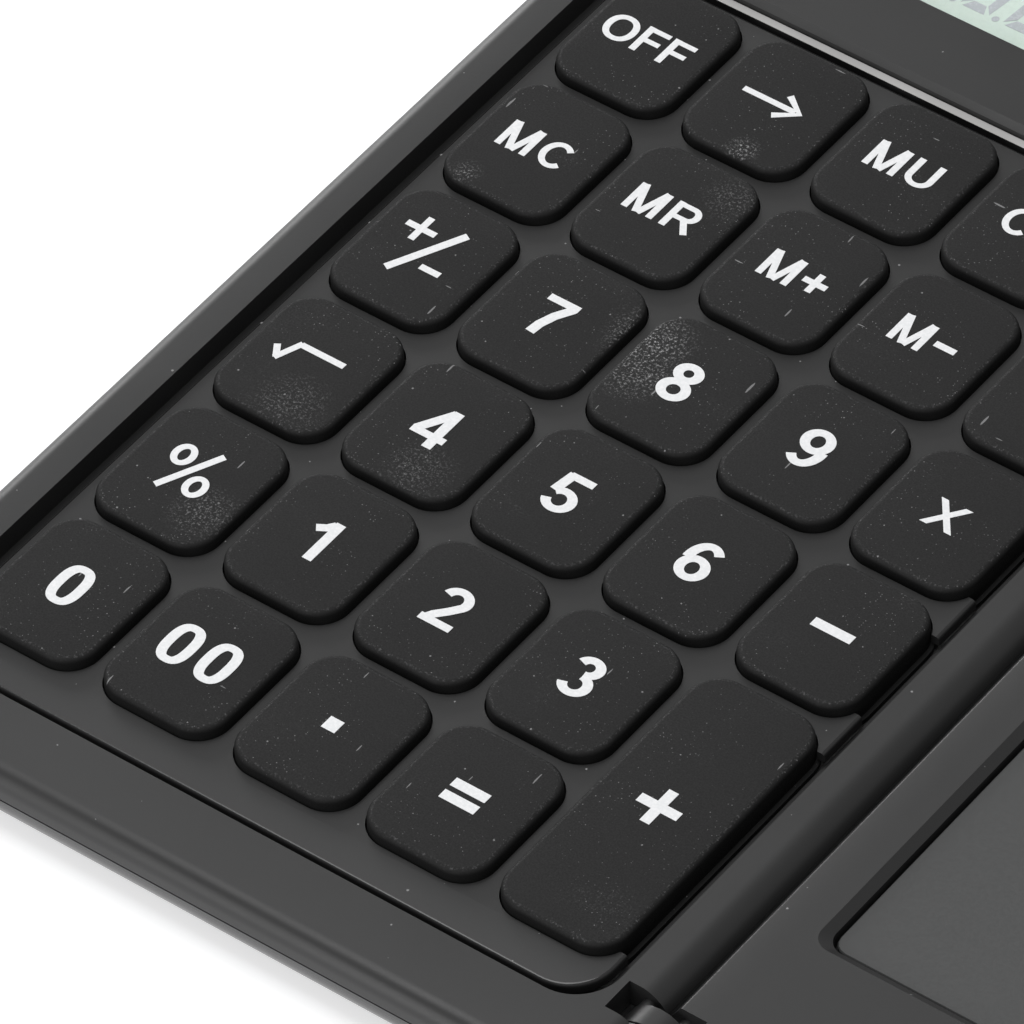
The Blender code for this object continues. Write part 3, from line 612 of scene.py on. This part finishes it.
def ring(x, y, width, height, squareness=2.0):
    """A closed ellipse; above 2 the squareness makes its sides straighter."""
    points = []
    for step in range(49):
        angle = math.tau * step / 48
        cosine = math.cos(angle)
        sine = math.sin(angle)
        reach_x = math.copysign(abs(cosine) ** (2 / squareness), cosine)
        reach_y = math.copysign(abs(sine) ** (2 / squareness), sine)
        points.append((x + width * reach_x, y + height * reach_y))
    return points


# Each glyph: half of its width, then its strokes as lines through points, in heights above the base line
GLYPHS = {
    "0": (0.362, [ring(0.0, 0.5, 0.225, 0.418, 2.7)]),
    "1": (0.300, [[(0.11, 0.0), (0.11, 1.0)], [(-0.22, 0.70), (-0.05, 0.80), (0.06, 0.93)]]),
    "2": (0.340, [arc(0.0, 0.705, 0.225, 0.21, 168, -28)
                  + [(0.04, 0.41), (-0.14, 0.22), (-0.22, 0.07)],
                  [(-0.335, 0.085), (0.34, 0.085)]]),
    "3": (0.340, [arc(-0.01, 0.735, 0.20, 0.180, 165, -90), arc(0.0, 0.295, 0.23, 0.21, 90, -165)]),
    "4": (0.360, [[(0.155, 0.0), (0.155, 1.0)], [(0.12, 0.95), (-0.28, 0.30)],
                  [(-0.36, 0.275), (0.36, 0.275)]]),
    "5": (0.340, [[(-0.20, 0.915), (0.31, 0.915)], [(-0.155, 0.96), (-0.235, 0.47)],
                  arc(-0.015, 0.315, 0.24, 0.225, 140, -165)]),
    "6": (0.340, [ring(0.005, 0.315, 0.23, 0.23), arc(0.04, 0.53, 0.27, 0.385, 186, 42)]),
    "7": (0.330, [[(-0.33, 0.905), (0.33, 0.905)],
                  [(0.24, 0.86), (0.05, 0.55), (-0.06, 0.25), (-0.09, 0.0)]]),
    "8": (0.340, [ring(0.0, 0.745, 0.195, 0.172), ring(0.0, 0.287, 0.23, 0.203)]),
    "9": (0.340, [ring(-0.005, 0.685, 0.23, 0.23), arc(-0.04, 0.47, 0.27, 0.385, 6, -138)]),
    "M": (0.590, [[(-0.395, 0.0), (-0.395, 1.0)], [(0.395, 0.0), (0.395, 1.0)],
                  [(-0.36, 1.0), (-0.03, 0.0)], [(0.36, 1.0), (0.03, 0.0)]]),
    "C": (0.450, [arc(0.02, 0.5, 0.355, 0.42, 42, 318, 30)]),
    "R": (0.470, [[(-0.35, 0.0), (-0.35, 1.0)], [(-0.35, 0.915), (0.08, 0.915)],
                  [(-0.35, 0.46), (0.08, 0.46)], arc(0.08, 0.6875, 0.22, 0.2275, 90, -90),
                  [(0.04, 0.46), (0.36, 0.0)]]),
    "U": (0.430, [[(-0.32, 1.0), (-0.32, 0.36)] + arc(0.0, 0.36, 0.32, 0.275, 180, 360)
                  + [(0.32, 1.0)]]),
    "O": (0.490, [ring(0.0, 0.5, 0.385, 0.42, 2.2)]),
    "F": (0.370, [[(-0.26, 0.0), (-0.26, 1.0)], [(-0.26, 0.915), (0.36, 0.915)],
                  [(-0.26, 0.49), (0.29, 0.49)]]),
    "E": (0.400, [[(-0.28, 0.0), (-0.28, 1.0)], [(-0.28, 0.915), (0.38, 0.915)],
                  [(-0.28, 0.51), (0.33, 0.51)], [(-0.28, 0.085), (0.40, 0.085)]]),
    "A": (0.500, [[(-0.40, 0.0), (-0.02, 1.0)], [(0.40, 0.0), (0.02, 1.0)],
                  [(-0.25, 0.28), (0.25, 0.28)]]),
}
LETTER_SPACE = 0.10


def ribbon(bm, points, upright, level, closed=False):
    """A flat stroke of ink along points; the pen's width depends on the stroke's direction."""
    count = len(points)
    z = len(bm.faces) * STROKE_STEP
    left = []
    right = []
    for index, point in enumerate(points):
        before = points[index - 1] if index > 0 else (points[-2] if closed else point)
        after = points[index + 1] if index < count - 1 else (points[1] if closed else point)
        along = Vector((after[0] - before[0], after[1] - before[1]))
        along.normalize()
        side = Vector((-along.y * upright / 2, along.x * level / 2))
        left.append(bm.verts.new((point[0] + side.x, point[1] + side.y, z)))
        right.append(bm.verts.new((point[0] - side.x, point[1] - side.y, z)))
    for index in range(count - 1):
        bm.faces.new((left[index], right[index], right[index + 1], left[index + 1]))


def text_strokes(text, height):
    """Strokes of a word in metres, centred on its middle."""
    widths = [2 * GLYPHS[letter][0] for letter in text]
    space = LETTER_SPACE * (len(text) - 1)
    cursor = -(sum(widths) + space) / 2
    strokes = []
    for letter, width in zip(text, widths):
        middle = cursor + width / 2
        for stroke in GLYPHS[letter][1]:
            strokes.append([((x + middle) * height, (y - 0.5) * height) for x, y in stroke])
        cursor += width + LETTER_SPACE
    return strokes


def line(pen, *points):
    """A stroke through points with its pen, both given in millimetres."""
    return [(x * MM, y * MM) for x, y in points], pen * MM, pen * MM


def bar(x, y, half, pen, upright=False):
    """A level or upright bar about a point, in millimetres."""
    if upright:
        return line(pen, (x, y - half), (x, y + half))
    return line(pen, (x - half, y), (x + half, y))


def percent_circle(x, y):
    points = [(px * MM, py * MM) for px, py in ring(x, y, 0.98, 1.27)]
    return points, 0.80 * MM, 0.68 * MM


def cross_arm(bottom, top):
    """An arm of the times sign, whose ends are cut level."""
    points, pen = line(1.15, bottom, top)[:2]
    return points, pen, 0.0


# Signs as strokes about the key's middle: points, width of upright strokes, width of level strokes
SIGNS = {
    "key_plus": [bar(0.18, 0.0, 2.52, 1.2), bar(0.18, 0.0, 2.52, 1.2, True)],
    "key_minus": [bar(0.1, 0.0, 2.5, 1.2)],
    "key_equals": [bar(0.25, 0.82, 2.2, 1.22), bar(0.25, -1.07, 2.2, 1.22)],
    "key_point": [bar(0.25, 0.0, 0.86, 1.75)],
    "key_divide": [bar(0.1, 0.0, 2.5, 1.2), bar(0.1, 1.9, 0.7, 1.4), bar(0.1, -1.9, 0.7, 1.4)],
    "key_change_sign": [bar(-2.3, 2.75, 1.9, 0.8), bar(-2.3, 2.75, 1.9, 0.8, True),
                        bar(2.35, -1.8, 1.28, 0.8), line(0.95, (-1.95, -3.95), (2.5, 4.6))],
    "key_square_root": [line(0.75, (-4.2, 0.25), (-3.15, -1.35)),
                        line(0.75, (-3.3, -1.5), (-1.95, 1.75)), bar(0.85, 1.55, 2.85, 0.78)],
    "key_backspace": [bar(-0.6, 0.0, 3.4, 0.72), line(0.78, (0.9, 1.75), (3.35, 0.0), (0.9, -1.75))],
    "key_memory_plus": [bar(2.9, 0.0, 1.48, 0.78), bar(2.9, 0.0, 1.48, 0.78, True)],
    "key_memory_minus": [bar(2.75, 0.0, 1.3, 0.82)],
    "key_percent": [line(0.82, (-1.95, -3.45), (1.65, 3.75)), percent_circle(-2.1, 1.65),
                    percent_circle(1.8, -1.4)],
    "key_times": [cross_arm((-1.45, -2.0), (1.65, 2.0)), cross_arm((1.65, -2.0), (-1.45, 2.0))],
}
WORDS = {
    "key_0": "0", "key_00": "00", "key_1": "1", "key_2": "2", "key_3": "3", "key_4": "4", "key_5": "5",
    "key_6": "6", "key_7": "7", "key_8": "8", "key_9": "9", "key_memory_clear": "MC",
    "key_memory_recall": "MR", "key_memory_plus": "M", "key_memory_minus": "M", "key_off": "OFF",
    "key_mark_up": "MU", "key_clear": "CE", "key_on": "AC",
}
WORD_BEFORE_SIGN = -1.45 * MM


def is_closed(points):
    return (Vector(points[0]) - Vector(points[-1])).length < 1e-7


def make_legend(node, ink):
    """The print on one key, a thin layer on its top face."""
    bm = bmesh.new()
    middle = key_middle(node) + LEGEND_SHIFT
    word = WORDS.get(node, "")
    height = DIGIT_HEIGHT if word.isdigit() else LETTER_HEIGHT
    shift = WORD_BEFORE_SIGN if node in SIGNS else 0.0
    for stroke in text_strokes(word, height):
        moved = [(x + shift, y) for x, y in stroke]
        ribbon(bm, moved, PEN_UPRIGHT * height, PEN_LEVEL * height, is_closed(stroke))
    for points, upright, level in SIGNS.get(node, []):
        ribbon(bm, points, upright, level, is_closed(points))
    bmesh.ops.translate(bm, vec=middle, verts=bm.verts)
    thicken(bm, INK)
    legend = new_object(f"{node}_legend", bm, ink)
    stand_for(legend, f"{node}_body", "key")


# ---------------------------------------------------------------- pieces

def make_key(node, material):
    """Rounded-square cap with a softly rounded top edge, on its retaining flange."""
    low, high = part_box(node)
    cap_low = (low.x + KEY_FLANGE, low.y + KEY_FLANGE, low.z + 0.1 * MM)
    cap_high = (high.x - KEY_FLANGE, high.y - KEY_FLANGE, high.z)
    bm = block(cap_low, cap_high, corner=KEY_CORNER, top=KEY_ROUND, corner_steps=12, round_steps=7)
    flange = block(low, (high.x, high.y, low.z + FLANGE_THICK), corner=KEY_CORNER + KEY_FLANGE,
                   corner_steps=8)
    key = new_object(f"{node}_cap", bm, material)
    carve(key, [(flange, "UNION")])
    stand_for(key, f"{node}_body", "key", node)


def leaf_shell(side, low_z, high_z):
    """Outer corners of one half of a leaf; side is -1 for the keypad leaf and 1 for the tablet leaf."""
    near = abs(LOWER_LEFT[1].x)
    far = abs(LOWER_LEFT[0].x)
    xs = sorted((side * near, side * far))
    return (xs[0], -HALF_LENGTH, low_z), (xs[1], HALF_LENGTH, high_z)


def ease_spine(bm, side):
    """Reshapes the top rounding beside the spine: it runs further in on the keypad leaf, and on the
    tablet leaf it is a leaning wall with a crisp edge."""
    edge = side * abs(LOWER_LEFT[1].x)
    for vert in bm.verts:
        height = (vert.co.z - (TOP - EDGE_ROUND)) / EDGE_ROUND
        inward = abs(vert.co.x - edge)
        share = min(1.0, max(0.0, (SPINE_CORNER - inward) / (SPINE_CORNER - EDGE_ROUND)))
        if height <= 0:
            continue
        shift = SPINE_EASE * height
        if side > 0:
            shift = TABLET_SPINE_LEAN * height + quarter_round(TABLET_SPINE_ROUND, TOP - vert.co.z)
            shift -= quarter_round(EDGE_ROUND, TOP - vert.co.z)
        vert.co.x += side * shift * share
    return bm


def quarter_round(radius, depth):
    """How far a quarter-round edge stands back from its wall at a depth below the top."""
    rise = max(0.0, radius - depth)
    return radius - math.sqrt(max(0.0, radius ** 2 - rise ** 2))


def leaf_corners(side):
    if side < 0:
        return {"corner": OUTER_CORNER, "right_corner": SPINE_CORNER}
    return {"corner": SPINE_CORNER, "right_corner": OUTER_CORNER}


def notch_tools(side):
    """Cuts for the hinge notches; the tablet leaf's run out at the ends."""
    near = HALF_LENGTH - NOTCH_FAR
    far = HALF_LENGTH - NOTCH_NEAR if side < 0 else HALF_LENGTH + BEYOND
    edge = abs(LOWER_LEFT[1].x)
    xs = sorted((side * (edge + NOTCH_DEPTH), -side * BARREL_RADIUS * 1.2))
    tools = []
    for end in (-1, 1):
        ys = sorted((end * near, end * far))
        tools.append((block((xs[0], ys[0], -BEYOND), (xs[1], ys[1], TOP + BEYOND)), "DIFFERENCE"))
    return tools


def make_upper_shell(material):
    low, high = leaf_shell(-1, PARTING_TOP, TOP)
    body = block(low, high, top=EDGE_ROUND, **SHELL_STEPS, **leaf_corners(-1))
    shell = new_object("calculator_case_top", ease_spine(body, -1), material)
    riser_foot = TRIM[1].y + 0.1 * MM
    recess = block((PLATE[0].x - MOAT, PLATE[0].y - MOAT, PLATE[0].z - FIT_GAP),
                   (PLATE[1].x + MOAT, riser_foot, TOP + BEYOND), corner=PLATE_CORNER,
                   back_corner=0.2 * MM, corner_steps=14)
    riser_low = DECK + RISER_FOOT
    riser = block((PLATE[0].x - MOAT, riser_foot - 4.0 * MM, riser_low),
                  (PLATE[1].x + MOAT, riser_foot, TOP))
    for vert in riser.verts:
        if vert.co.z > TOP - 1e-6:
            vert.co.z += BEYOND
            if vert.co.y > riser_foot - 1e-6:
                vert.co.y += RISER_LEAN * (TOP + BEYOND - riser_low) / (TOP - riser_low)
    opening = block((PLATE[0].x + 0.5 * MM, PLATE[0].y + 2.5 * MM, -BEYOND),
                    (PLATE[1].x - 0.5 * MM, PLATE[1].y - 0.5 * MM, TOP), corner=2.0 * MM)
    window = block((WINDOW[0].x - 0.15 * MM, WINDOW[0].y - 0.15 * MM, -BEYOND),
                   (WINDOW[1].x + 0.15 * MM, WINDOW[1].y + 0.15 * MM, TOP + BEYOND), corner=1.0 * MM)
    tools = [(cut, "DIFFERENCE") for cut in (recess, riser, opening, window)] + notch_tools(-1)
    for end in (-1, 1):
        start, stop = sorted((end * (HALF_LENGTH - NOTCH_NEAR), end * (HALF_LENGTH - BARREL_END)))
        tools.append((rod(BARREL_RADIUS, start, stop, 0.0, BARREL_Z), "UNION"))
    carve(shell, tools)
    stand_for(shell, ROOT_BODY, "shell", "calculator_upper_shell")


def underside_tools(leaf, floor_z):
    """Recesses for a leaf's two feet and its battery cover, with the bay above the cover."""
    tools = []
    for foot in ("front", "back"):
        foot_low, foot_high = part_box(f"{leaf}_foot_{foot}")
        half = (foot_high.y - foot_low.y) / 2 + FIT_GAP
        tools.append((block((foot_low.x - FIT_GAP, foot_low.y - FIT_GAP, -BEYOND),
                            (foot_high.x + FIT_GAP, foot_high.y + FIT_GAP, foot_high.z + FIT_GAP),
                            corner=half * FULL_ROUND), "DIFFERENCE"))
    cover_low, cover_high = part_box(f"{leaf}_battery_cover")
    tools.append((block((cover_low.x - COVER_GAP, cover_low.y - COVER_GAP, -BEYOND),
                        (cover_high.x + COVER_GAP, cover_high.y + COVER_GAP, floor_z + COVER_RECESS),
                        corner=COVER_CORNER), "DIFFERENCE"))
    tools.append((block((cover_low.x + COVER_LEDGE, cover_low.y + COVER_LEDGE, -BEYOND),
                        (cover_high.x - SCREW_LEDGE, cover_high.y - COVER_LEDGE,
                         floor_z + SHELL_FLOOR + BEYOND), corner=1.0 * MM), "DIFFERENCE"))
    return tools


def lock_slot(floor_z):
    """The slot that the erase lock slides in."""
    pad_low, pad_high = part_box("lock_slider")
    middle_x = (pad_low.x + pad_high.x) / 2
    middle_y = (pad_low.y + pad_high.y) / 2
    return block((middle_x + LOCK_SLOT[0], middle_y - LOCK_SLOT_HALF, -BEYOND),
                 (middle_x + LOCK_SLOT[1], middle_y + LOCK_SLOT_HALF, floor_z + SHELL_FLOOR + BEYOND),
                 corner=0.8 * MM)


def make_lower_shell(name, side, material, body, node):
    low, high = leaf_shell(side, LOWER_LEFT[0].z, LOWER_LEFT[1].z)
    outside = block(low, high, bottom=BELLY_ROUND, **SHELL_STEPS, **leaf_corners(side))
    shell = new_object(name, outside, material)
    inner_low = (low[0] + LOWER_WALL, low[1] + LOWER_WALL, low[2] + SHELL_FLOOR)
    inner_high = (high[0] - LOWER_WALL, high[1] - LOWER_WALL, high[2] + BEYOND)
    spine = NOTCH_DEPTH + SPINE_WALL
    if side < 0:
        inner_high = (high[0] - spine, inner_high[1], inner_high[2])
    else:
        inner_low = (low[0] + spine, inner_low[1], inner_low[2])
        inner_high = (STYLUS[0].x - BORE_WALL, inner_high[1], inner_high[2])
    inside = block(inner_low, inner_high, corner=INNER_CORNER, bottom=INNER_ROUND, corner_steps=6,
                   round_steps=4)
    tools = [(inside, "DIFFERENCE")] + notch_tools(side)
    if side < 0:
        near = HALF_LENGTH - NOTCH_NEAR - FIT_GAP
        for end in (-1, 1):
            start, stop = sorted((end * near, end * (HALF_LENGTH + BEYOND)))
            tools.append((rod(BARREL_RADIUS + FIT_GAP, start, stop, 0.0, BARREL_Z), "DIFFERENCE"))
        tools += underside_tools("calculator", low[2])
    else:
        tools.append((stylus_bore(), "DIFFERENCE"))
        tools += underside_tools("tablet", low[2])
        tools.append((lock_slot(low[2]), "DIFFERENCE"))
    carve(shell, tools)
    stand_for(shell, body, "shell", node)


def make_key_plate(material):
    """The plate between the keys; its last column of holes is open towards the spine."""
    far_corner = PLATE[1] - Vector((PLATE_SETBACK, 0.0, 0.0))
    slab = block(PLATE[0], far_corner, corner=PLATE_CORNER, back_corner=PLATE_BACK_CORNER,
                 top=PLATE_ROUND, corner_steps=14, round_steps=8)
    plate = new_object("keypad_deck", slab, material)
    holes = bmesh.new()
    slots = bmesh.new()
    last_column = max(key_middle(node).x for node in KEY_NODES)
    grow = KEY_CLEARANCE - KEY_FLANGE
    for node in KEY_NODES:
        low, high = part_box(node)
        add_mesh(holes, block((low.x - grow, low.y - grow, PLATE[0].z - BEYOND),
                              (high.x + grow, high.y + grow, DECK + BEYOND),
                              corner=KEY_CORNER + KEY_CLEARANCE, corner_steps=12))
        if key_middle(node).x > last_column - MM:
            inset = KEY_FLANGE + SLOT_INSET
            add_mesh(slots, block((key_middle(node).x, low.y + inset, PLATE[0].z - BEYOND),
                                  (PLATE[1].x + BEYOND, high.y - inset, DECK + BEYOND)))
    carve(plate, [(holes, "DIFFERENCE"), (slots, "DIFFERENCE")])
    stand_for(plate, ROOT_BODY, "plate", "key_plate")


def stylus_bore():
    middle_x = (STYLUS[0].x + STYLUS[1].x) / 2
    return rod(STYLUS_BORE, STYLUS[0].y - FIT_GAP, HALF_LENGTH + BEYOND, middle_x, BARREL_Z)


def make_tablet_frame(material):
    """The frame round the writing film: a sloping surround, a small step, and the film's pocket."""
    low, high = leaf_shell(1, PARTING_TOP, TOP)
    body = block(low, high, top=EDGE_ROUND, **SHELL_STEPS, **leaf_corners(1))
    shell = new_object("tablet_case_top", ease_spine(body, 1), material)
    slope_bottom = FILM[1].z + SCREEN_STEP
    groove = SCREEN_GROOVE
    well = block((FILM[0].x - groove, FILM[0].y - groove, slope_bottom),
                 (FILM[1].x + groove, FILM[1].y + groove, TOP), corner=SCREEN_CORNER, corner_steps=12)
    middle = (FILM[0] + FILM[1]) / 2
    size = FILM[1] - FILM[0]
    for vert in well.verts:
        if vert.co.z > TOP - 1e-6:
            vert.co.x = middle.x + (vert.co.x - middle.x) * (1 + 2 * SCREEN_SLOPE / size.x)
            vert.co.y = middle.y + (vert.co.y - middle.y) * (1 + 2 * SCREEN_SLOPE / size.y)
    lid = max(well.faces, key=lambda face: face.calc_center_median().z)
    made = bmesh.ops.extrude_face_region(well, geom=[lid])["geom"]
    bmesh.ops.delete(well, geom=[lid], context="FACES_ONLY")
    raised = [item for item in made if isinstance(item, bmesh.types.BMVert)]
    bmesh.ops.translate(well, vec=(0.0, 0.0, BEYOND), verts=raised)
    pocket = block((FILM[0].x - groove, FILM[0].y - groove, FILM[0].z - FIT_GAP),
                   (FILM[1].x + groove, FILM[1].y + groove, TOP), corner=SCREEN_CORNER, corner_steps=12)
    button_low, button_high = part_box("erase_button")
    half = (button_high.y - button_low.y) / 2 - BUTTON_RIM
    hole = block((button_low.x + BUTTON_RIM, button_low.y + BUTTON_RIM, -BEYOND),
                 (button_high.x - BUTTON_RIM, button_high.y - BUTTON_RIM, TOP + BEYOND),
                 corner=half * FULL_ROUND, corner_steps=16)
    tools = [(cut, "DIFFERENCE") for cut in (well, pocket, stylus_bore(), hole)]
    carve(shell, tools + notch_tools(1))
    stand_for(shell, TABLET_BODY, "shell", "tablet_upper_frame")


def digit_outlines(right, pitch):
    """Flat outlines of one digit's seven segments and its point, from the digit's lower left corner."""
    half = SEGMENT_HEIGHT / 2
    inner = SEGMENT_PEN * 0.95
    cut = SEGMENT_PEN * 0.45
    gap = SEGMENT_GAP
    outlines = []
    for y, flip in ((0.0, 1), (SEGMENT_HEIGHT, -1)):
        inside = y + flip * SEGMENT_PEN
        outlines.append([(cut + gap, y), (right - cut - gap, y), (right - inner - gap, inside),
                         (inner + gap, inside)])
    outlines.append([(inner * 0.6, half), (inner + gap, half + SEGMENT_PEN / 2),
                     (right - inner - gap, half + SEGMENT_PEN / 2), (right - inner * 0.6, half),
                     (right - inner - gap, half - SEGMENT_PEN / 2), (inner + gap, half - SEGMENT_PEN / 2)])
    for x, flip in ((0.0, 1), (right, -1)):
        for end, centre, turn in ((0.0, half, 1), (SEGMENT_HEIGHT, half, -1)):
            outlines.append([(x + flip * cut * 0.35, end + turn * (cut * 0.35 + gap)),
                             (x + flip * inner, end + turn * (SEGMENT_PEN + gap)),
                             (x + flip * inner, centre - turn * (SEGMENT_PEN / 2 + gap)),
                             (x + flip * inner * 0.45, centre - turn * gap), (x, centre - turn * gap * 2)])
    point_x = right + (pitch - right) * 0.5
    angles = [math.tau * step / 20 for step in range(20)]
    outlines.append([(point_x + POINT_RADIUS * math.cos(angle), 0.2 * MM + POINT_RADIUS * math.sin(angle))
                     for angle in angles])
    return outlines


def make_display(materials):
    """Ghost segments of a slanted row of digits, between the panel and its lens."""
    pitch = (WINDOW[1].x - WINDOW[0].x - 2 * DIGIT_MARGIN) / DIGITS
    base = WINDOW[0].y + DIGIT_BASE
    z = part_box("lcd_module")[1].z + SEGMENT_LIFT
    slant = math.tan(math.radians(SEGMENT_SLANT))
    bm = bmesh.new()
    for index in range(DIGITS):
        origin = WINDOW[0].x + DIGIT_MARGIN + index * pitch
        for outline in digit_outlines(pitch * 0.74, pitch):
            bm.faces.new([bm.verts.new((origin + x + y * slant, base + y, z)) for x, y in outline])
    thicken(bm, SEGMENT_THICK)
    segments = new_object("lcd_segments", bm, materials["segment"])
    stand_for(segments, ROOT_BODY, "lcd")


def dress_node(node, material):
    """A CAD node that stays as it is gets its finish and smooth normals."""
    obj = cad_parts[node]
    obj.data.materials.clear()
    obj.data.materials.append(material)
    if "custom_normal" in obj.data.attributes:
        obj.data.attributes.remove(obj.data.attributes["custom_normal"])
    weld = obj.modifiers.new("weld", "WELD")
    weld.merge_threshold = 0.002 * MM
    obj.data.shade_smooth()
    split = obj.modifiers.new("split", "EDGE_SPLIT")
    split.split_angle = math.radians(32)


# ---------------------------------------------------------------- stage

def make_stage():
    """A pale floor, an even white sky and three soft lights."""
    floor_bm = bmesh.new()
    bmesh.ops.create_grid(floor_bm, x_segments=1, y_segments=1, size=3.0)
    paint = Paint("pale_floor")
    paint.color(paint.mix(paint.noise(3.0), grey(0.68), grey(0.72)))
    paint.set(Roughness=0.9, Emission_Color=(1.0, 1.0, 1.0, 1.0), Emission_Strength=FLOOR_GLOW)
    floor = new_object("floor", floor_bm, paint.material)
    scene = bpy.context.scene
    world = bpy.data.worlds.new("studio")
    scene.world = world
    world.use_nodes = True
    background = world.node_tree.nodes["Background"]
    background.inputs["Color"].default_value = (1.0, 1.0, 1.0, 1.0)
    background.inputs["Strength"].default_value = SKY_STRENGTH
    add_light("softbox", (-0.35, 0.05, 1.45), 0.9, 12.0)
    add_light("fill", (-0.2, -1.3, 0.35), 1.2, 14.0)
    add_light("back_edge", (-1.20, 0.85, 0.38), 0.6, 7.0)


def add_light(name, place, size, power):
    data = bpy.data.lights.new(name, "AREA")
    data.shape = "SQUARE"
    data.size = size
    data.energy = power
    light = bpy.data.objects.new(name, data)
    light.location = place
    light.rotation_mode = "QUATERNION"
    light.rotation_quaternion = (-Vector(place)).to_track_quat("-Z", "Y")
    bpy.context.scene.collection.objects.link(light)


def make_camera():
    data = bpy.data.cameras.new("camera")
    data.lens = CAMERA_LENS
    data.sensor_width = 36.0
    data.clip_start = 0.05
    data.clip_end = 10.0
    camera = bpy.data.objects.new("camera", data)
    azimuth = math.radians(CAMERA_AZIMUTH)
    elevation = math.radians(CAMERA_ELEVATION)
    back = Vector((math.sin(azimuth) * math.cos(elevation), -math.cos(azimuth) * math.cos(elevation),
                   math.sin(elevation)))
    camera.location = CAMERA_AIM + back * CAMERA_DISTANCE
    camera.rotation_mode = "QUATERNION"
    level = (-back).to_track_quat("-Z", "Y")
    roll = Matrix.Rotation(math.radians(CAMERA_ROLL), 4, "Z").to_quaternion()
    camera.rotation_quaternion = level @ roll
    bpy.context.scene.collection.objects.link(camera)
    bpy.context.scene.camera = camera
    bpy.context.scene.view_settings.view_transform = "Standard"


def main():
    materials = make_materials()
    make_upper_shell(materials["shell"])
    make_lower_shell("calculator_case_bottom", -1, materials["belly"], ROOT_BODY, "calculator_lower_shell")
    make_lower_shell("tablet_case_bottom", 1, materials["belly"], TABLET_BODY, "tablet_lower_shell")
    make_tablet_frame(materials["shell"])
    make_key_plate(materials["plate"])
    for node in KEY_NODES:
        make_key(node, materials["key"])
        make_legend(node, materials["ink"])
    make_display(materials)
    finishes = {
        "trim_strip": "trim", "display_window": "lens", "lcd_module": "lcd",
        "lcd_connector_strip": "silicone", "key_membrane": "silicone",
        "calculator_circuit_board": "board", "tablet_circuit_board": "board",
        "calculator_coin_cell": "steel", "tablet_coin_cell": "steel",
        "calculator_cover_screw": "steel", "tablet_cover_screw": "steel",
        "calculator_battery_cover": "belly", "tablet_battery_cover": "belly",
        "hinge_link_front": "shell", "hinge_link_back": "shell",
        "writing_film": "film", "erase_button": "key",
        "lock_slider": "key", "stylus": "stylus", "calculator_foot_front": "rubber",
        "calculator_foot_back": "rubber", "tablet_foot_front": "rubber", "tablet_foot_back": "rubber",
    }
    for node, finish in finishes.items():
        dress_node(node, materials[finish])
    make_stage()
    make_camera()


main()
